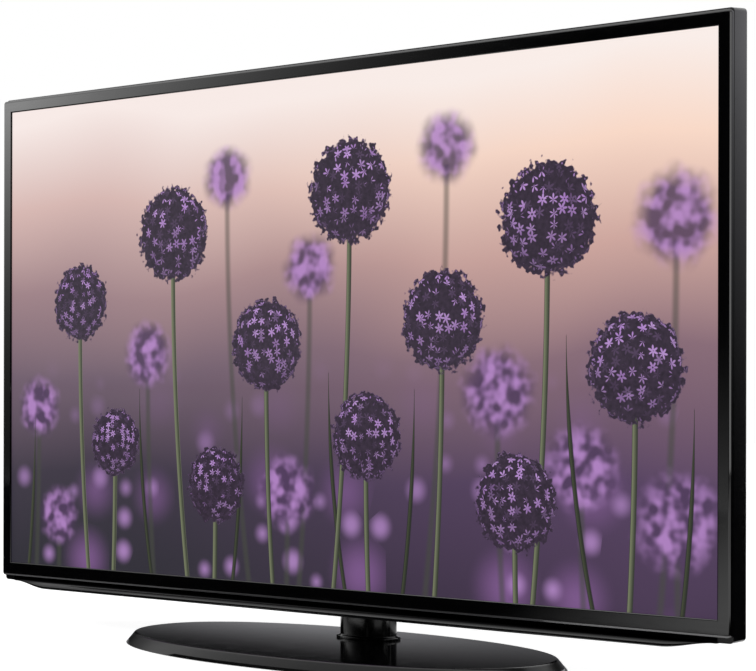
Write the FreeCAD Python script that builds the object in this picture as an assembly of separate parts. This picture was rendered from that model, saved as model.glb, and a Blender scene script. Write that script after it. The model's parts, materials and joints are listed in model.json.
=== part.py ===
import FreeCAD, Part
import math
import os

# A flat screen television on an oval swivel stand. Millimetres, +X right as seen from
# the front, +Y back, +Z up, origin on the floor under the centre of the stand's base.

# How far a cutting tool runs past the face that it cuts, and a thin overlap of two cuts
overcut = 1.0
thin_overlap = 0.01

# Screen and front frame
screen_width = 1095.84
screen_height = 616.41
side_border = 16.1
top_border = 16.2
bottom_border = 18.2
frame_front_y = -40.0
frame_edge = 3.0
frame_face_radius = 1.0
frame_outer_radius = 4.0
frame_side_depth = 6.3
frame_wall = 2.0
window_bevel = 1.0
glass_setback = 2.0
gasket_thickness = 0.4
gasket_width = 3.0
gasket_setback = 1.0

# Heights that stack up from the floor
foot_height = 2.4
rim_lift = 0.5
rim_height = 13.9
trim_gap = 38.1
trim_drop = 8.5
frame_lift = 6.6

# Bottom trim, the lip that hangs under the front frame
trim_web = 0.9
trim_lip_reach = 4.8
trim_recess_height = 4.2
trim_full_half = 478.0
trim_end_half = 545.0
trim_back_round = 4.0
trim_wall = 2.0
trim_end_thickness = 0.35
trim_steps = 10
trim_pocket_count = 8
trim_lip_step = 0.15
trim_crest_share = 0.42
trim_hollow_share = 0.17
trim_roll_share = 0.22
trim_under_step = 0.2
trim_under_reach = 3.0
trim_bend_share = 0.3
trim_back_gap = 0.5
trim_least_drop = 0.02

# Rear cover
seam_gap = 0.2
cover_wall = 2.5
cover_web = 1.5
cover_rim_depth = 28.5
cover_top_step = 2.4
cover_top_rise = 3.2
cover_corner_radius = 4.5
cover_round = 4.0
cover_round_steps = 5
cover_corner_growth = 0.3
cover_inner_back_share = 0.8
cover_inner_slope_share = 0.7
web_lower_overlap = 0.5
web_rise = 1.4
slope_side = 62.0
slope_top = 60.0
slope_bottom = 70.0
slope_depth = 21.0
slope_radius = 30.0
bulge_half_width = 400.0
bulge_lift = 47.0
bulge_height = 437.0
bulge_depth = 38.0
bulge_draft = 22.0
bulge_radius = 40.0
vent_slot_width = 3.2
vent_slot_height = 34.0
vent_pitch = 11.0
vent_half_span = 330.0
vent_top_lift = 28.0
vent_back_drop = 48.0
vent_post_gap = 9.0
vent_middle_gap = 120.0
vent_overcut = 2.0
grille_slot_width = 2.4
grille_slot_length = 26.0
grille_pitch = 6.0
grille_slots = 18
grille_setback = 2.0
grille_below_speaker = 6.0
grille_lift = 42.0

# Display module, from the glass to the chassis pan
module_side = 8.5
module_bottom_drop = 10.0
cell_side = 5.0
frame_glass_lead = 0.2
cell_bottom_drop = 6.0
cell_thickness = 1.4
mid_frame_wall = 1.8
mid_frame_ledge = 1.0
mid_frame_depth = 25.2
mid_frame_window_gap = 1.0
film_notch_gap = 1.0
film_notch_depth_gap = 0.1
film_thickness = 0.3
film_count = 3
film_gap = 0.1
film_side = 3.0
diffuser_thickness = 1.4
diffuser_side = 1.0
pan_sheet = 0.8
pan_depth = 21.7
pan_flange = 8.0
pan_clearance = 0.3
pan_bead_height = 1.8
pan_bead_width = 12.0
pan_bead_half = 470.0
pan_bead_drops = (30.0, 150.0, 260.0)
reflector_sheet_thickness = 0.5
reflector_slope = 26.0
reflector_gap = 1.5
reflector_front_gap = 0.1
reflector_back_gap = 0.2
reflector_lean = 1.4
led_bar_count = 6
led_bar_width = 14.0
led_bar_thickness = 1.2
led_bar_end_inset = 33.0
led_row_margin = 52.0
led_end_margin = 40.0
led_hole_clearance = 0.4
led_lens_count = 11
led_lens_radius = 7.0
led_lens_top_radius = 4.5
led_lens_height = 3.6
support_base_radius = 5.0
support_tip_radius = 1.5
support_tip_gap = 0.2
support_rows = (0, 2, 4)
support_columns = (1, 4, 6, 9)
support_offset = 20.0
driver_film_count = 8
driver_film_width = 44.0
driver_film_thickness = 0.3
driver_film_drop = 4.0
driver_film_gap = 0.1
driver_film_landing = 9.0
source_board_height = 18.0
source_board_lift = 8.0
source_board_thickness = 1.0
source_board_gap = 0.4
source_board_half_gap = 60.0
source_board_end_gap = 35.92
source_socket_inset = 26.0
source_socket_height = 1.5
source_socket_margin = 1.0
source_socket_depth = 4.0
ribbon_thickness = 0.3
ribbon_width = 12.0
ribbon_lift = 11.0
ribbon_gap = 0.1
ribbon_arch = 4.0
ribbon_reach = 3.0
ribbon_landing = 3.0
ribbon_start_inset = 16.0
bracket_width = 30.0
bracket_sheet = 1.5
bracket_lifts = (100.0, 330.0)
bracket_top_drop = 100.0
bracket_front_gap = 2.0
bracket_back_gap = 6.0
bracket_module_gap = 0.1
bracket_cover_gap = 0.2

# Boards on the chassis
board_standoff_height = 8.0
board_thickness = 1.6
standoff_radius = 3.0
board_screw_radius = 1.4
board_screw_head_radius = 3.0
board_screw_head_height = 2.0
screw_clearance = 0.1
board_edge_inset = 7.0
screw_slot_reach = 0.55
screw_slot_half = 0.12
screw_end_gap = 2.0
header_height = 6.0
header_edge_inset = 15.0
header_power_drop = 22.0
header_keys_inset = 40.0
header_keys_drop = 8.0
header_audio_inset = 8.0
header_audio_lift = 20.0
header_panel_lift = 61.0
header_led_inset = 25.0
header_led_drop = 10.0
header_inlet_lift = 6.0
key_lead_rise = 13.0
speaker_lead_drop = 14.0
oval_points = 48
main_board_left = -350.0
main_board_width = 225.0
main_board_lift = 119.0
main_board_height = 215.0
power_board_left = 115.0
power_board_width = 230.0
power_board_lift = 181.0
power_board_height = 160.0
control_board_half_width = 78.0
control_board_lift = 203.0
control_board_height = 84.0

# Connector bays in the rear cover
side_bay_wall_x = -356.0
pocket_reach = 50.0
stand_pocket_drop = 20.0
side_bay_floor_y = -6.0
side_bay_lift = 189.0
side_bay_height = 150.0
rear_bay_left = -320.0
rear_bay_width = 170.0
rear_bay_lift = 127.0
rear_bay_height = 56.0
rear_bay_floor_y = 8.0
inlet_x = 315.0
inlet_pocket_width = 60.0
inlet_pocket_height = 45.0
inlet_pocket_lift = 119.0
inlet_floor_y = 22.0
port_clearance = 0.3
bracket_gap = 0.2
jack_plate_sheet = 1.0
jack_plate_depth = 12.0
jack_plate_margin = 3.0
jack_foot_sheet = 0.8
jack_foot_reach = 3.0

# Connectors
hdmi_pitch = 26.0
hdmi_count = 3
hdmi_first_lift = 14.0
hdmi_width = 15.0
hdmi_height = 5.6
hdmi_length = 14.5
hdmi_shell = 0.4
usb_pitch = 22.0
usb_count = 2
usb_gap = 26.0
usb_width = 13.2
usb_height = 5.8
usb_shell = 0.4
hdmi_tongue = 1.1
hdmi_tongue_margin = 2.0
usb_tongue = 1.9
usb_tongue_margin = 1.3
tongue_setback = 1.0
headphone_gap = 16.0
headphone_body = 8.0
headphone_bore_radius = 1.8
headphone_depth = 12.0
headphone_nose_radius = 3.4
headphone_shoulder_gap = 1.5
headphone_end = 3.0
antenna_x = 20.0
antenna_radius = 4.75
antenna_root_radius = 4.2
antenna_reach = 11.0
antenna_hole_radius = 1.1
antenna_hole_depth = 9.0
tuner_width = 34.0
tuner_height = 44.0
tuner_depth = 6.0
lan_x = 53.0
lan_outer = 16.0
lan_opening_width = 11.8
lan_opening_height = 8.6
lan_depth = 9.0
port_stand_out = 1.5
port_end = 1.0
optical_x = 78.0
optical_outer = 10.5
optical_opening = 8.0
optical_depth = 6.0
rca_first_x = 98.0
rca_pitch = 14.0
rca_columns = 5
rca_radius = 4.15
rca_inner_radius = 3.5
rca_hole_radius = 1.7
rca_reach = 9.0
rca_base = 11.0
rca_row_rise = 26.0
rca_top_row_count = 3
rca_first_lift = 16.0
rca_base_gap = 0.3
rca_floor = 1.0
rca_insert_gap = 0.05
rca_insert_setback = 0.4
inlet_body_width = 26.0
inlet_body_height = 17.0
inlet_body_depth = 18.0
inlet_flange_width = 38.0
inlet_flange_height = 25.0
inlet_flange_thickness = 2.0
inlet_hole_width = 18.6
inlet_hole_height = 10.2
inlet_hole_depth = 14.0
inlet_pin_radius = 1.2
inlet_pin_spacing = 8.6
inlet_pin_length = 11.0
inlet_flange_radius = 3.0
inlet_hole_roundness = 0.95

# Speakers
speaker_inner_x = 206.0
speaker_length = 148.0
speaker_front_y = -8.0
speaker_depth = 54.0
speaker_lift = 75.0
speaker_height = 38.0
speaker_wall = 2.0
speaker_hole_radius = 17.0
speaker_frame_radius = 21.0
speaker_frame_thickness = 2.0
speaker_cone_height = 11.0
speaker_cone_tip_radius = 6.0
speaker_cone_sheet = 0.8
speaker_magnet_radius = 14.0
speaker_magnet_height = 12.0
speaker_lug = 13.0
speaker_lug_thickness = 3.0
grommet_radius = 6.0
speaker_edge_radius = 4.0
speaker_lug_tie = 5.0
speaker_rim_gap = 0.2
speaker_rim_width = 1.2
speaker_throat_gap = 2.0
speaker_basket_sheet = 1.0
speaker_magnet_gap = 3.0
speaker_cone_gap = 1.7
speaker_coil_height = 3.0

# Keys at the back
key_slope_gap = 32.02
key_count = 6
key_pitch = 18.0
key_first_lift = 240.0
key_width = 12.0
key_height = 8.0
key_radius = 2.0
key_clearance = 0.3
key_stand_out = 1.2
key_flange = 1.5
key_flange_thickness = 2.0
key_rest_gap = 0.2
key_travel = 0.9
key_stop_gap = 0.1
key_switch_size = 6.0
key_switch_height = 3.6
key_board_width = 20.0
key_board_end = 14.0
key_post_radius = 3.5
key_post_inset = 4.0
key_edge_radius = 0.5
key_plunger_height = 0.8
key_plunger_share = 0.55
key_screw_end_gap = 2.0

key_names = ("power", "input", "volume_down", "volume_up", "channel_down", "channel_up")

# Leads
lead_bend = 12.0
power_lead_radius = 2.4
small_lead_radius = 1.2
led_lead_radius = 1.6
inlet_lead_radius = 1.4
speaker_lead_x = 100.0
power_lead_arch = 12.0
key_lead_arch = 5.0
led_lead_arch = 8.0
left_speaker_lead_arch = 7.0
right_speaker_lead_arch = 4.0
led_lead_rise = 34.0
key_lead_side = 30.0
key_lead_turn_side = 24.0
key_lead_fall = 80.0
key_lead_end_fall = 92.0
speaker_lead_lift = 20.0
audio_header_pitch = 18.0
inlet_lead_half = 4.0
inlet_lead_reach = 5.0
inlet_lead_end_drop = 4.0

# Remote control sensor
sensor_x = 166.0
sensor_window_width = 20.0
sensor_window_height = 2.8
sensor_board_width = 44.0
sensor_board_depth = 12.0
sensor_board_gap = 0.2
sensor_window_clearance = 0.05
sensor_window_top_gap = 0.5
sensor_window_past_seam = 0.5
sensor_chip_half = 4.0
sensor_chip_setback = 0.5
sensor_chip_depth = 4.5
sensor_part_height = 4.0
sensor_plug_inset = 2.0
sensor_plug_width = 8.0
sensor_plug_setback = 5.0
sensor_plug_depth = 5.0

# Wall mounting posts
wall_mount_spacing = 200.0
wall_mount_centre_z = 394.0
wall_post_radius = 6.5
wall_hole_radius = 3.4
wall_hole_depth = 22.0
wall_post_clearance = 0.2

# Cover posts and screws
cover_post_radius = 4.0
cover_screw_radius = 1.8
cover_screw_head_radius = 4.0
cover_screw_head_height = 2.4
cover_screw_length = 14.0
cover_screw_plateau_offset = 0.99
cover_screw_lifts = (100.0, 369.0)
cover_screw_high_drop = 88.0
cover_screw_top_drop = 118.0
cover_screw_top_x = 225.0

# Stand
pivot_y = 64.0
base_half_length = 317.0
base_half_depth = 154.2
base_power = 2.2
rim_bevel = 11.5
base_wall = 2.5
plate_thickness = 3.0
plate_margin = 11.0
hub_radius = 40.0
hub_thickness = 4.0
hub_screw_circle = 34.0
spindle_radius = 10.0
spindle_clearance = 0.05
spindle_flange_radius = 23.3
base_hole_clearance = 0.7
washer_thickness = 1.0
washer_radius = 22.0
spring_washer_thickness = 0.8
nut_thickness = 2.4
nut_across_flats = 30.0
plate_hole_radius = 27.0
washer_clearance = 0.5
spring_washer_inset = 3.0
foot_radius = 9.0
foot_count = 8
spindle_screw_radius = 2.0
spindle_screw_head_radius = 3.8
spindle_screw_head_height = 2.2
spindle_screw_play = 0.05
spindle_screw_floor = 0.6
spindle_screw_end_gap = 0.2
spindle_end = 0.2
bracket_screw_play = 0.1
spindle_screw_x = 12.0
spindle_screw_y = 6.5
base_screw_radius = 1.45
base_screw_head_radius = 3.4
base_screw_head_height = 1.6
base_boss_radius = 5.0
base_screw_recess_gap = 0.3
base_screw_end_gap = 1.5
base_screw_count = 8
base_screw_length_share = 0.79
base_screw_depth_share = 0.73
foot_length_share = 0.87
foot_depth_share = 0.81
foot_edge_radius = 0.5
rim_wall_share = 1.36
rim_underside = 0.5
hub_screw_end_gap = 0.3
neck_half_width = 40.0
neck_half_depth = 22.0
neck_power = 2.3
neck_wall = 2.2
neck_fit = 0.2
neck_top_z = 205.0
collar_flare = 4.6
collar_height = 4.6
collar_step = 0.2
collar_profile = ((0.0, 1.0), (0.17, 0.8), (0.45, 0.36), (0.75, 0.12), (1.0, 0.0))
neck_slot_gap = 3.0
neck_slot_back = 2.0
neck_slot_drop = 6.0
neck_slot_front = 5.0
turn_gap = 0.3
stand_bracket_sheet = 3.0
stand_web_half = 25.0
stand_web_back = 14.0
stand_plate_half = 56.0
stand_plate_lift = 57.0
stand_plate_height = 112.0
stand_screw_half = 44.0
stand_screw_inset = 14.0
stand_screw_radius = 2.95
stand_screw_head_radius = 5.5
stand_screw_head_height = 4.0
stand_screw_length = 21.0
stand_screw_clearance = 0.25
stand_thread_clearance = 0.05
stand_web_top_gap = 3.0
stand_mount_side = 6.0
stand_pocket_half = 60.0
stand_pocket_floor_y = 20.0
stand_pocket_height = 179.0
mount_leg_spread = 24.0

# Chips and power parts: x and z from the board's lower left corner, width, height, depth
main_processor = (150, 140, 30, 30, 2.2)
main_chip_parts = ((70, 110, 14, 14, 1.4), (70, 150, 12, 12, 1.4), (195, 100, 16, 10, 1.6))
memory_chip = (112, 110, 11, 13, 1.2)
memory_count = 4
memory_pitch = 16.0
main_coil = (196, 122, 9, 9, 4.5)
main_coil_count = 5
main_coil_pitch = 14.0
main_sink_size = 46.0
main_sink_base = 2.5
main_sink_height = 10.0
main_sink_fins = 10
main_sink_fin = 1.4
power_block_parts = ((60, 92, 40, 36, 26), (120, 80, 34, 32, 24), (196, 40, 30, 26, 22),
                     (160, 34, 20, 24, 16))
power_sink_parts = ((92, 84, 3, 60, 28), (150, 84, 3, 60, 28))
large_capacitor = (190, 128, 11, 30)
large_capacitor_count = 3
large_capacitor_pitch = 25.0
small_capacitor = (36, 30, 5, 18)
small_capacitor_count = 5
small_capacitor_pitch = 13.0

# Levels that follow from these sizes
V = FreeCAD.Vector
screen_half = screen_width / 2
base_top_z = rim_lift + rim_height
trim_bottom_z = base_top_z + trim_gap
cabinet_bottom_z = trim_bottom_z + trim_drop
frame_bottom_z = cabinet_bottom_z + frame_lift
screen_bottom_z = frame_bottom_z + bottom_border
screen_top_z = screen_bottom_z + screen_height
frame_top_z = screen_top_z + top_border
body_half = screen_half + side_border
seam_y = frame_front_y + frame_side_depth
cover_front_y = seam_y + seam_gap
rim_back_y = cover_front_y + cover_rim_depth
plateau_y = rim_back_y + slope_depth
plateau_half = body_half - slope_side
plateau_inner_y = plateau_y - cover_wall
bulge_y = plateau_y + bulge_depth
bulge_bottom_z = cabinet_bottom_z + bulge_lift
bulge_top_z = bulge_bottom_z + bulge_height
glass_y = frame_front_y + glass_setback
cell_back_y = glass_y + cell_thickness
module_half = screen_half + module_side
module_bottom_z = screen_bottom_z - module_bottom_drop
module_top_z = screen_top_z + module_side
ledge_y = cell_back_y + film_gap
films_y = ledge_y + mid_frame_ledge + film_gap
diffuser_y = films_y + film_count * (film_thickness + film_gap)
pan_front_y = diffuser_y + diffuser_thickness + film_gap
pan_back_y = pan_front_y + pan_depth
pan_inset = mid_frame_wall + pan_clearance
pan_half = module_half - pan_inset
pan_bottom_z = module_bottom_z + pan_inset
pan_top_z = module_top_z - pan_inset
pan_floor_y = pan_back_y - pan_sheet
source_board_length = screen_half - source_board_half_gap - source_board_end_gap
board_front_y = pan_back_y + board_standoff_height
board_back_y = board_front_y + board_thickness
side_bay_bottom_z = cabinet_bottom_z + side_bay_lift
rear_bay_bottom_z = cabinet_bottom_z + rear_bay_lift
inlet_z = cabinet_bottom_z + inlet_pocket_lift + inlet_pocket_height / 2
speaker_bottom_z = cabinet_bottom_z + speaker_lift
neck_bottom_z = base_top_z + turn_gap
stand_plate_bottom_z = cabinet_bottom_z + stand_plate_lift
stand_plate_top_z = stand_plate_bottom_z + stand_plate_height
main_board_right = main_board_left + main_board_width
main_board_top_z = cabinet_bottom_z + main_board_lift + main_board_height
power_board_bottom_z = cabinet_bottom_z + power_board_lift
power_board_top_z = power_board_bottom_z + power_board_height
key_x = plateau_half - key_slope_gap
control_board_z = cabinet_bottom_z + control_board_lift
header_left_x = main_board_right - header_edge_inset
header_power = (header_left_x, power_board_top_z - header_power_drop, power_board_left + header_edge_inset)
header_keys = (main_board_right - header_keys_inset, main_board_top_z - header_keys_drop)
header_audio = (main_board_right - header_audio_inset,
                cabinet_bottom_z + main_board_lift + header_audio_lift)
header_panel = (header_left_x, control_board_z + header_panel_lift,
                header_edge_inset - control_board_half_width)
header_led = (power_board_left + header_led_inset, power_board_top_z - header_led_drop)
header_inlet = (inlet_x, power_board_bottom_z + header_inlet_lift)
key_lead_z = power_board_top_z + key_lead_rise
speaker_lead_z = control_board_z - speaker_lead_drop


def box(x0, x1, y0, y1, z0, z1):
    return Part.makeBox(x1 - x0, y1 - y0, z1 - z0, V(x0, y0, z0))


def rod_y(radius, x, z, y0, y1):
    return Part.makeCylinder(radius, y1 - y0, V(x, y0, z), V(0, 1, 0))


def rod_z(radius, x, y, z0, z1):
    return Part.makeCylinder(radius, z1 - z0, V(x, y, z0), V(0, 0, 1))


def rod_x(radius, y, z, x0, x1):
    return Part.makeCylinder(radius, x1 - x0, V(x0, y, z), V(1, 0, 0))


def group(shapes):
    return Part.makeCompound(shapes)


def rounded_wire(x0, x1, z0, z1, radius, y):
    """A rounded rectangle that faces along Y."""
    k = radius * (1 - math.sqrt(0.5))
    lines = [
        (V(x0 + radius, y, z0), V(x1 - radius, y, z0)),
        (V(x1, y, z0 + radius), V(x1, y, z1 - radius)),
        (V(x1 - radius, y, z1), V(x0 + radius, y, z1)),
        (V(x0, y, z1 - radius), V(x0, y, z0 + radius)),
    ]
    middles = [
        V(x1 - k, y, z0 + k),
        V(x1 - k, y, z1 - k),
        V(x0 + k, y, z1 - k),
        V(x0 + k, y, z0 + k),
    ]
    edges = []
    for i in range(4):
        start, end = lines[i]
        following = lines[(i + 1) % 4][0]
        edges.append(Part.LineSegment(start, end).toShape())
        edges.append(Part.Arc(end, middles[i], following).toShape())
    return Part.Wire(edges)


def rounded_block(x0, x1, z0, z1, radius, y0, y1):
    face = Part.Face(rounded_wire(x0, x1, z0, z1, radius, y0))
    return face.extrude(V(0, y1 - y0, 0))


def ruled(wires):
    return Part.makeLoft(wires, True, True)


def oval_wire(half_x, half_y, power, centre_y, z, points=oval_points):
    """A closed curve |x/a|^n + |y/b|^n = 1 at one height."""
    places = []
    for i in range(points):
        angle = 2 * math.pi * i / points
        c = math.cos(angle)
        s = math.sin(angle)
        x = half_x * math.copysign(abs(c) ** (2 / power), c)
        y = half_y * math.copysign(abs(s) ** (2 / power), s)
        places.append(V(x, centre_y + y, z))
    curve = Part.BSplineCurve()
    curve.interpolate(Points=places, PeriodicFlag=True)
    return Part.Wire([curve.toShape()])


def oval_block(half_x, half_y, power, centre_y, z0, z1):
    face = Part.Face(oval_wire(half_x, half_y, power, centre_y, z0))
    return face.extrude(V(0, 0, z1 - z0))


def screw_y(radius, head_radius, head_height, length, x, z, y):
    """A screw driven towards the front: its head sits at y, its shank runs forward."""
    head = rod_y(head_radius, x, z, y, y + head_height)
    reach = head_radius * screw_slot_reach
    half = head_radius * screw_slot_half
    slot = box(x - reach, x + reach, y + head_height / 2, y + head_height + overcut, z - half, z + half)
    cross = slot.copy()
    cross.rotate(V(x, y, z), V(0, 1, 0), 90)
    shank = rod_y(radius, x, z, y - length, y)
    return head.cut(group([slot, cross])).fuse(shank).removeSplitter()


def save(node, shape):
    solids = shape.Solids
    good = all(s.isValid() and s.Volume > 0 for s in solids)
    print("%-22s solids %3d  litres %8.4f  valid %s" % (node, len(solids), shape.Volume / 1e6, good))
    shape.exportStep("parts/%s.step" % node)


def front_bezel():
    """The glossy front frame, with a lit bevel round its edge and a bevelled window."""
    edge = frame_edge
    face = rounded_wire(edge - body_half, body_half - edge, frame_bottom_z + edge, frame_top_z - edge,
                        frame_face_radius, frame_front_y)
    outer = rounded_wire(-body_half, body_half, frame_bottom_z, frame_top_z,
                         frame_outer_radius, frame_front_y + edge)
    back = rounded_wire(-body_half, body_half, frame_bottom_z, frame_top_z, frame_outer_radius, seam_y)
    solid = ruled([face, outer, back])
    hollow = box(frame_wall - body_half, body_half - frame_wall, glass_y - gasket_thickness,
                 seam_y + overcut, frame_bottom_z + frame_wall, frame_top_z - frame_wall)
    b = window_bevel
    near = Part.makePolygon([V(-screen_half - b, frame_front_y, screen_bottom_z - b),
                             V(screen_half + b, frame_front_y, screen_bottom_z - b),
                             V(screen_half + b, frame_front_y, screen_top_z + b),
                             V(-screen_half - b, frame_front_y, screen_top_z + b),
                             V(-screen_half - b, frame_front_y, screen_bottom_z - b)])
    far_y = frame_front_y + b
    far = Part.makePolygon([V(-screen_half, far_y, screen_bottom_z), V(screen_half, far_y, screen_bottom_z),
                            V(screen_half, far_y, screen_top_z), V(-screen_half, far_y, screen_top_z),
                            V(-screen_half, far_y, screen_bottom_z)])
    window = box(-screen_half, screen_half, far_y - thin_overlap, glass_y + overcut,
                 screen_bottom_z, screen_top_z)
    return solid.cut(hollow).cut(ruled([near, far])).cut(window)


def frame_ring(outer, inner, y0, y1):
    """A rectangular ring; outer and inner are (half width, bottom, top)."""
    solid = box(-outer[0], outer[0], y0, y1, outer[1], outer[2])
    return solid.cut(box(-inner[0], inner[0], y0 - overcut, y1 + overcut, inner[1], inner[2]))


def screen_gasket():
    near = gasket_setback
    far = gasket_setback + gasket_width
    outer = (screen_half + far, screen_bottom_z - far, screen_top_z + far)
    inner = (screen_half + near, screen_bottom_z - near, screen_top_z + near)
    return frame_ring(outer, inner, glass_y - gasket_thickness, glass_y)


def trim_section(x, drop):
    """The trim's cross-section at x; drop runs from 0 at the ends to 1 in the middle."""
    y_web_back = seam_y
    y_web = y_web_back - trim_web
    y_lip = y_web - trim_lip_step - trim_lip_reach * drop
    top = frame_bottom_z - seam_gap
    shelf = cabinet_bottom_z - seam_gap
    bottom = shelf - trim_end_thickness - (trim_drop - seam_gap - trim_end_thickness) * drop
    recess = top - trim_recess_height
    crest = bottom + trim_crest_share * (recess - bottom)
    hollow = V(x, (y_web + y_lip) / 2 + trim_hollow_share * (y_web - y_lip),
               (recess + crest) / 2 - trim_hollow_share * (recess - crest))
    under_y = y_lip + trim_under_step + trim_under_reach * drop
    roll = V(x, y_lip + trim_roll_share * (under_y - y_lip), bottom + trim_roll_share * (crest - bottom))
    back_y = rim_back_y - trim_back_gap
    round_back = min(trim_back_round, shelf - bottom)
    p = [V(x, y_web_back, top), V(x, y_web, top), V(x, y_web, recess), V(x, y_lip, crest),
         V(x, under_y, bottom), V(x, back_y - round_back, bottom), V(x, back_y, shelf),
         V(x, y_web_back, shelf)]
    bend = V(x, back_y - trim_bend_share * round_back, bottom + trim_bend_share * (shelf - bottom))
    edges = [
        Part.LineSegment(p[0], p[1]).toShape(),
        Part.LineSegment(p[1], p[2]).toShape(),
        Part.Arc(p[2], hollow, p[3]).toShape(),
        Part.Arc(p[3], roll, p[4]).toShape(),
        Part.LineSegment(p[4], p[5]).toShape(),
        Part.Arc(p[5], bend, p[6]).toShape(),
        Part.LineSegment(p[6], p[7]).toShape(),
        Part.LineSegment(p[7], p[0]).toShape(),
    ]
    return Part.Wire(edges)


def trim_profile():
    """Stations along the trim: x and how far it hangs, as two joined arcs."""
    stations = []
    for i in range(trim_steps + 1):
        t = i / trim_steps
        x = trim_end_half + (trim_full_half - trim_end_half) * t
        drop = 0.5 - 0.5 * math.cos(math.pi * t)
        stations.append((x, max(drop, trim_least_drop)))
    return stations


def bottom_trim():
    right = trim_profile()
    left = [(-x, drop) for x, drop in reversed(right)]
    solid = ruled([trim_section(x, drop) for x, drop in right + left])
    shelf = cabinet_bottom_z - seam_gap
    step = 2 * trim_full_half / trim_pocket_count
    pockets = []
    for i in range(trim_pocket_count):
        x = -trim_full_half + i * step
        pockets.append(box(x + trim_wall, x + step - trim_wall, seam_y + trim_wall,
                           rim_back_y - trim_back_round - trim_wall, trim_bottom_z + trim_wall,
                           shelf + overcut))
    window = sensor_slot(sensor_window_clearance)
    return solid.cut(group(pockets + [window]))


def sensor_slot(grow):
    top = frame_bottom_z - seam_gap - sensor_window_top_gap
    half = sensor_window_width / 2
    return box(sensor_x - half - grow, sensor_x + half + grow, seam_y - trim_web,
               seam_y + sensor_window_past_seam, top - sensor_window_height - grow, top + grow)


def sensor_board():
    z = cabinet_bottom_z + cover_wall
    half = sensor_board_width / 2
    y = cover_front_y + cover_web + sensor_board_gap
    top = z + board_thickness
    board = box(sensor_x - half, sensor_x + half, y, y + sensor_board_depth, z, top)
    chip_y = y + sensor_chip_setback
    chip = box(sensor_x - sensor_chip_half, sensor_x + sensor_chip_half, chip_y, chip_y + sensor_chip_depth,
               top, top + sensor_part_height)
    plug_x = sensor_x + half - sensor_plug_inset
    plug_y = y + sensor_plug_setback
    plug = box(plug_x - sensor_plug_width, plug_x, plug_y, plug_y + sensor_plug_depth,
               top, top + sensor_part_height)
    return board.fuse([chip, plug])


def cover_wire(y, side, bottom, top, radius):
    return rounded_wire(side - body_half, body_half - side, cabinet_bottom_z + bottom,
                        frame_top_z - top, radius, y)


def cover_top(y):
    """How far the cover's top stands above the front frame at this depth."""
    return cover_top_step + cover_top_rise * (y - cover_front_y) / cover_rim_depth


def cover_outer():
    angle = math.atan2(slope_side, slope_depth)
    start = rim_back_y - cover_round * math.tan(angle / 2)
    wires = [cover_wire(cover_front_y, 0, 0, -cover_top(cover_front_y), cover_corner_radius)]
    for i in range(cover_round_steps + 1):
        turn = angle * i / cover_round_steps
        inset = cover_round * (1 - math.cos(turn))
        y = start + cover_round * math.sin(turn)
        wires.append(cover_wire(y, inset, inset, inset - cover_top(y),
                                cover_corner_radius + inset * cover_corner_growth))
    wires.append(cover_wire(plateau_y, slope_side, slope_bottom, slope_top, slope_radius))
    bulge = [bulge_wire(rim_back_y, 0), bulge_wire(plateau_y, 0), bulge_wire(bulge_y, bulge_draft)]
    return ruled(wires).fuse(ruled(bulge))


def bulge_wire(y, inset):
    return rounded_wire(inset - bulge_half_width, bulge_half_width - inset, bulge_bottom_z + inset,
                        bulge_top_z - inset, bulge_radius, y)


def cover_inner():
    w = cover_wall
    back_y = rim_back_y - cover_inner_back_share * w
    slope_w = cover_inner_slope_share * w
    wires = [cover_wire(cover_front_y - overcut, w, w, w, cover_corner_radius - w),
             cover_wire(back_y, w, w, w - cover_top(back_y), cover_corner_radius - w),
             cover_wire(plateau_inner_y, slope_side + slope_w, slope_bottom + slope_w, slope_top + slope_w,
                        slope_radius)]
    lean = math.hypot(bulge_draft, bulge_depth)
    inset = w * (lean - bulge_draft) / bulge_depth
    bulge = [bulge_wire(rim_back_y, w), bulge_wire(plateau_inner_y, inset),
             bulge_wire(bulge_y - w, bulge_draft + inset)]
    return ruled(wires).fuse(ruled(bulge))


def grown(bounds, wall, closed):
    """A box grown by the wall on its closed sides: x0, x1, y0, y1, z0, z1."""
    x0, x1, y0, y1, z0, z1 = bounds
    a, b, c, d, e, f = closed
    return box(x0 - wall * a, x1 + wall * b, y0 - wall * c, y1 + wall * d, z0 - wall * e, z1 + wall * f)


def cover_pockets():
    """Each pocket's bounds and which of its six sides have a wall."""
    far = bulge_y + pocket_reach
    stand = (-stand_pocket_half, stand_pocket_half, stand_pocket_floor_y, far,
             cabinet_bottom_z - stand_pocket_drop, cabinet_bottom_z + stand_pocket_height)
    side = (-body_half - pocket_reach, side_bay_wall_x, side_bay_floor_y, far,
            side_bay_bottom_z, side_bay_bottom_z + side_bay_height)
    rear = (rear_bay_left, rear_bay_left + rear_bay_width, rear_bay_floor_y, far,
            rear_bay_bottom_z, rear_bay_bottom_z + rear_bay_height)
    inlet = (inlet_x - inlet_pocket_width / 2, inlet_x + inlet_pocket_width / 2, inlet_floor_y, far,
             inlet_z - inlet_pocket_height / 2, inlet_z + inlet_pocket_height / 2)
    return [(stand, (1, 1, 1, 0, 0, 1)), (side, (0, 1, 1, 0, 1, 1)),
            (rear, (1, 1, 1, 0, 1, 1)), (inlet, (1, 1, 1, 0, 1, 1))]


def wall_mount_places():
    half = wall_mount_spacing / 2
    return [(x, wall_mount_centre_z + z) for x in (-half, half) for z in (-half, half)]


def cover_screw_places():
    side = (bulge_half_width + plateau_half) / 2 - cover_screw_plateau_offset
    rows = [cabinet_bottom_z + lift for lift in cover_screw_lifts] + [frame_top_z - cover_screw_high_drop]
    places = [(s * side, z) for s in (-1, 1) for z in rows]
    top = frame_top_z - cover_screw_top_drop
    return places + [(s * cover_screw_top_x, top) for s in (-1, 0, 1)]


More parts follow.
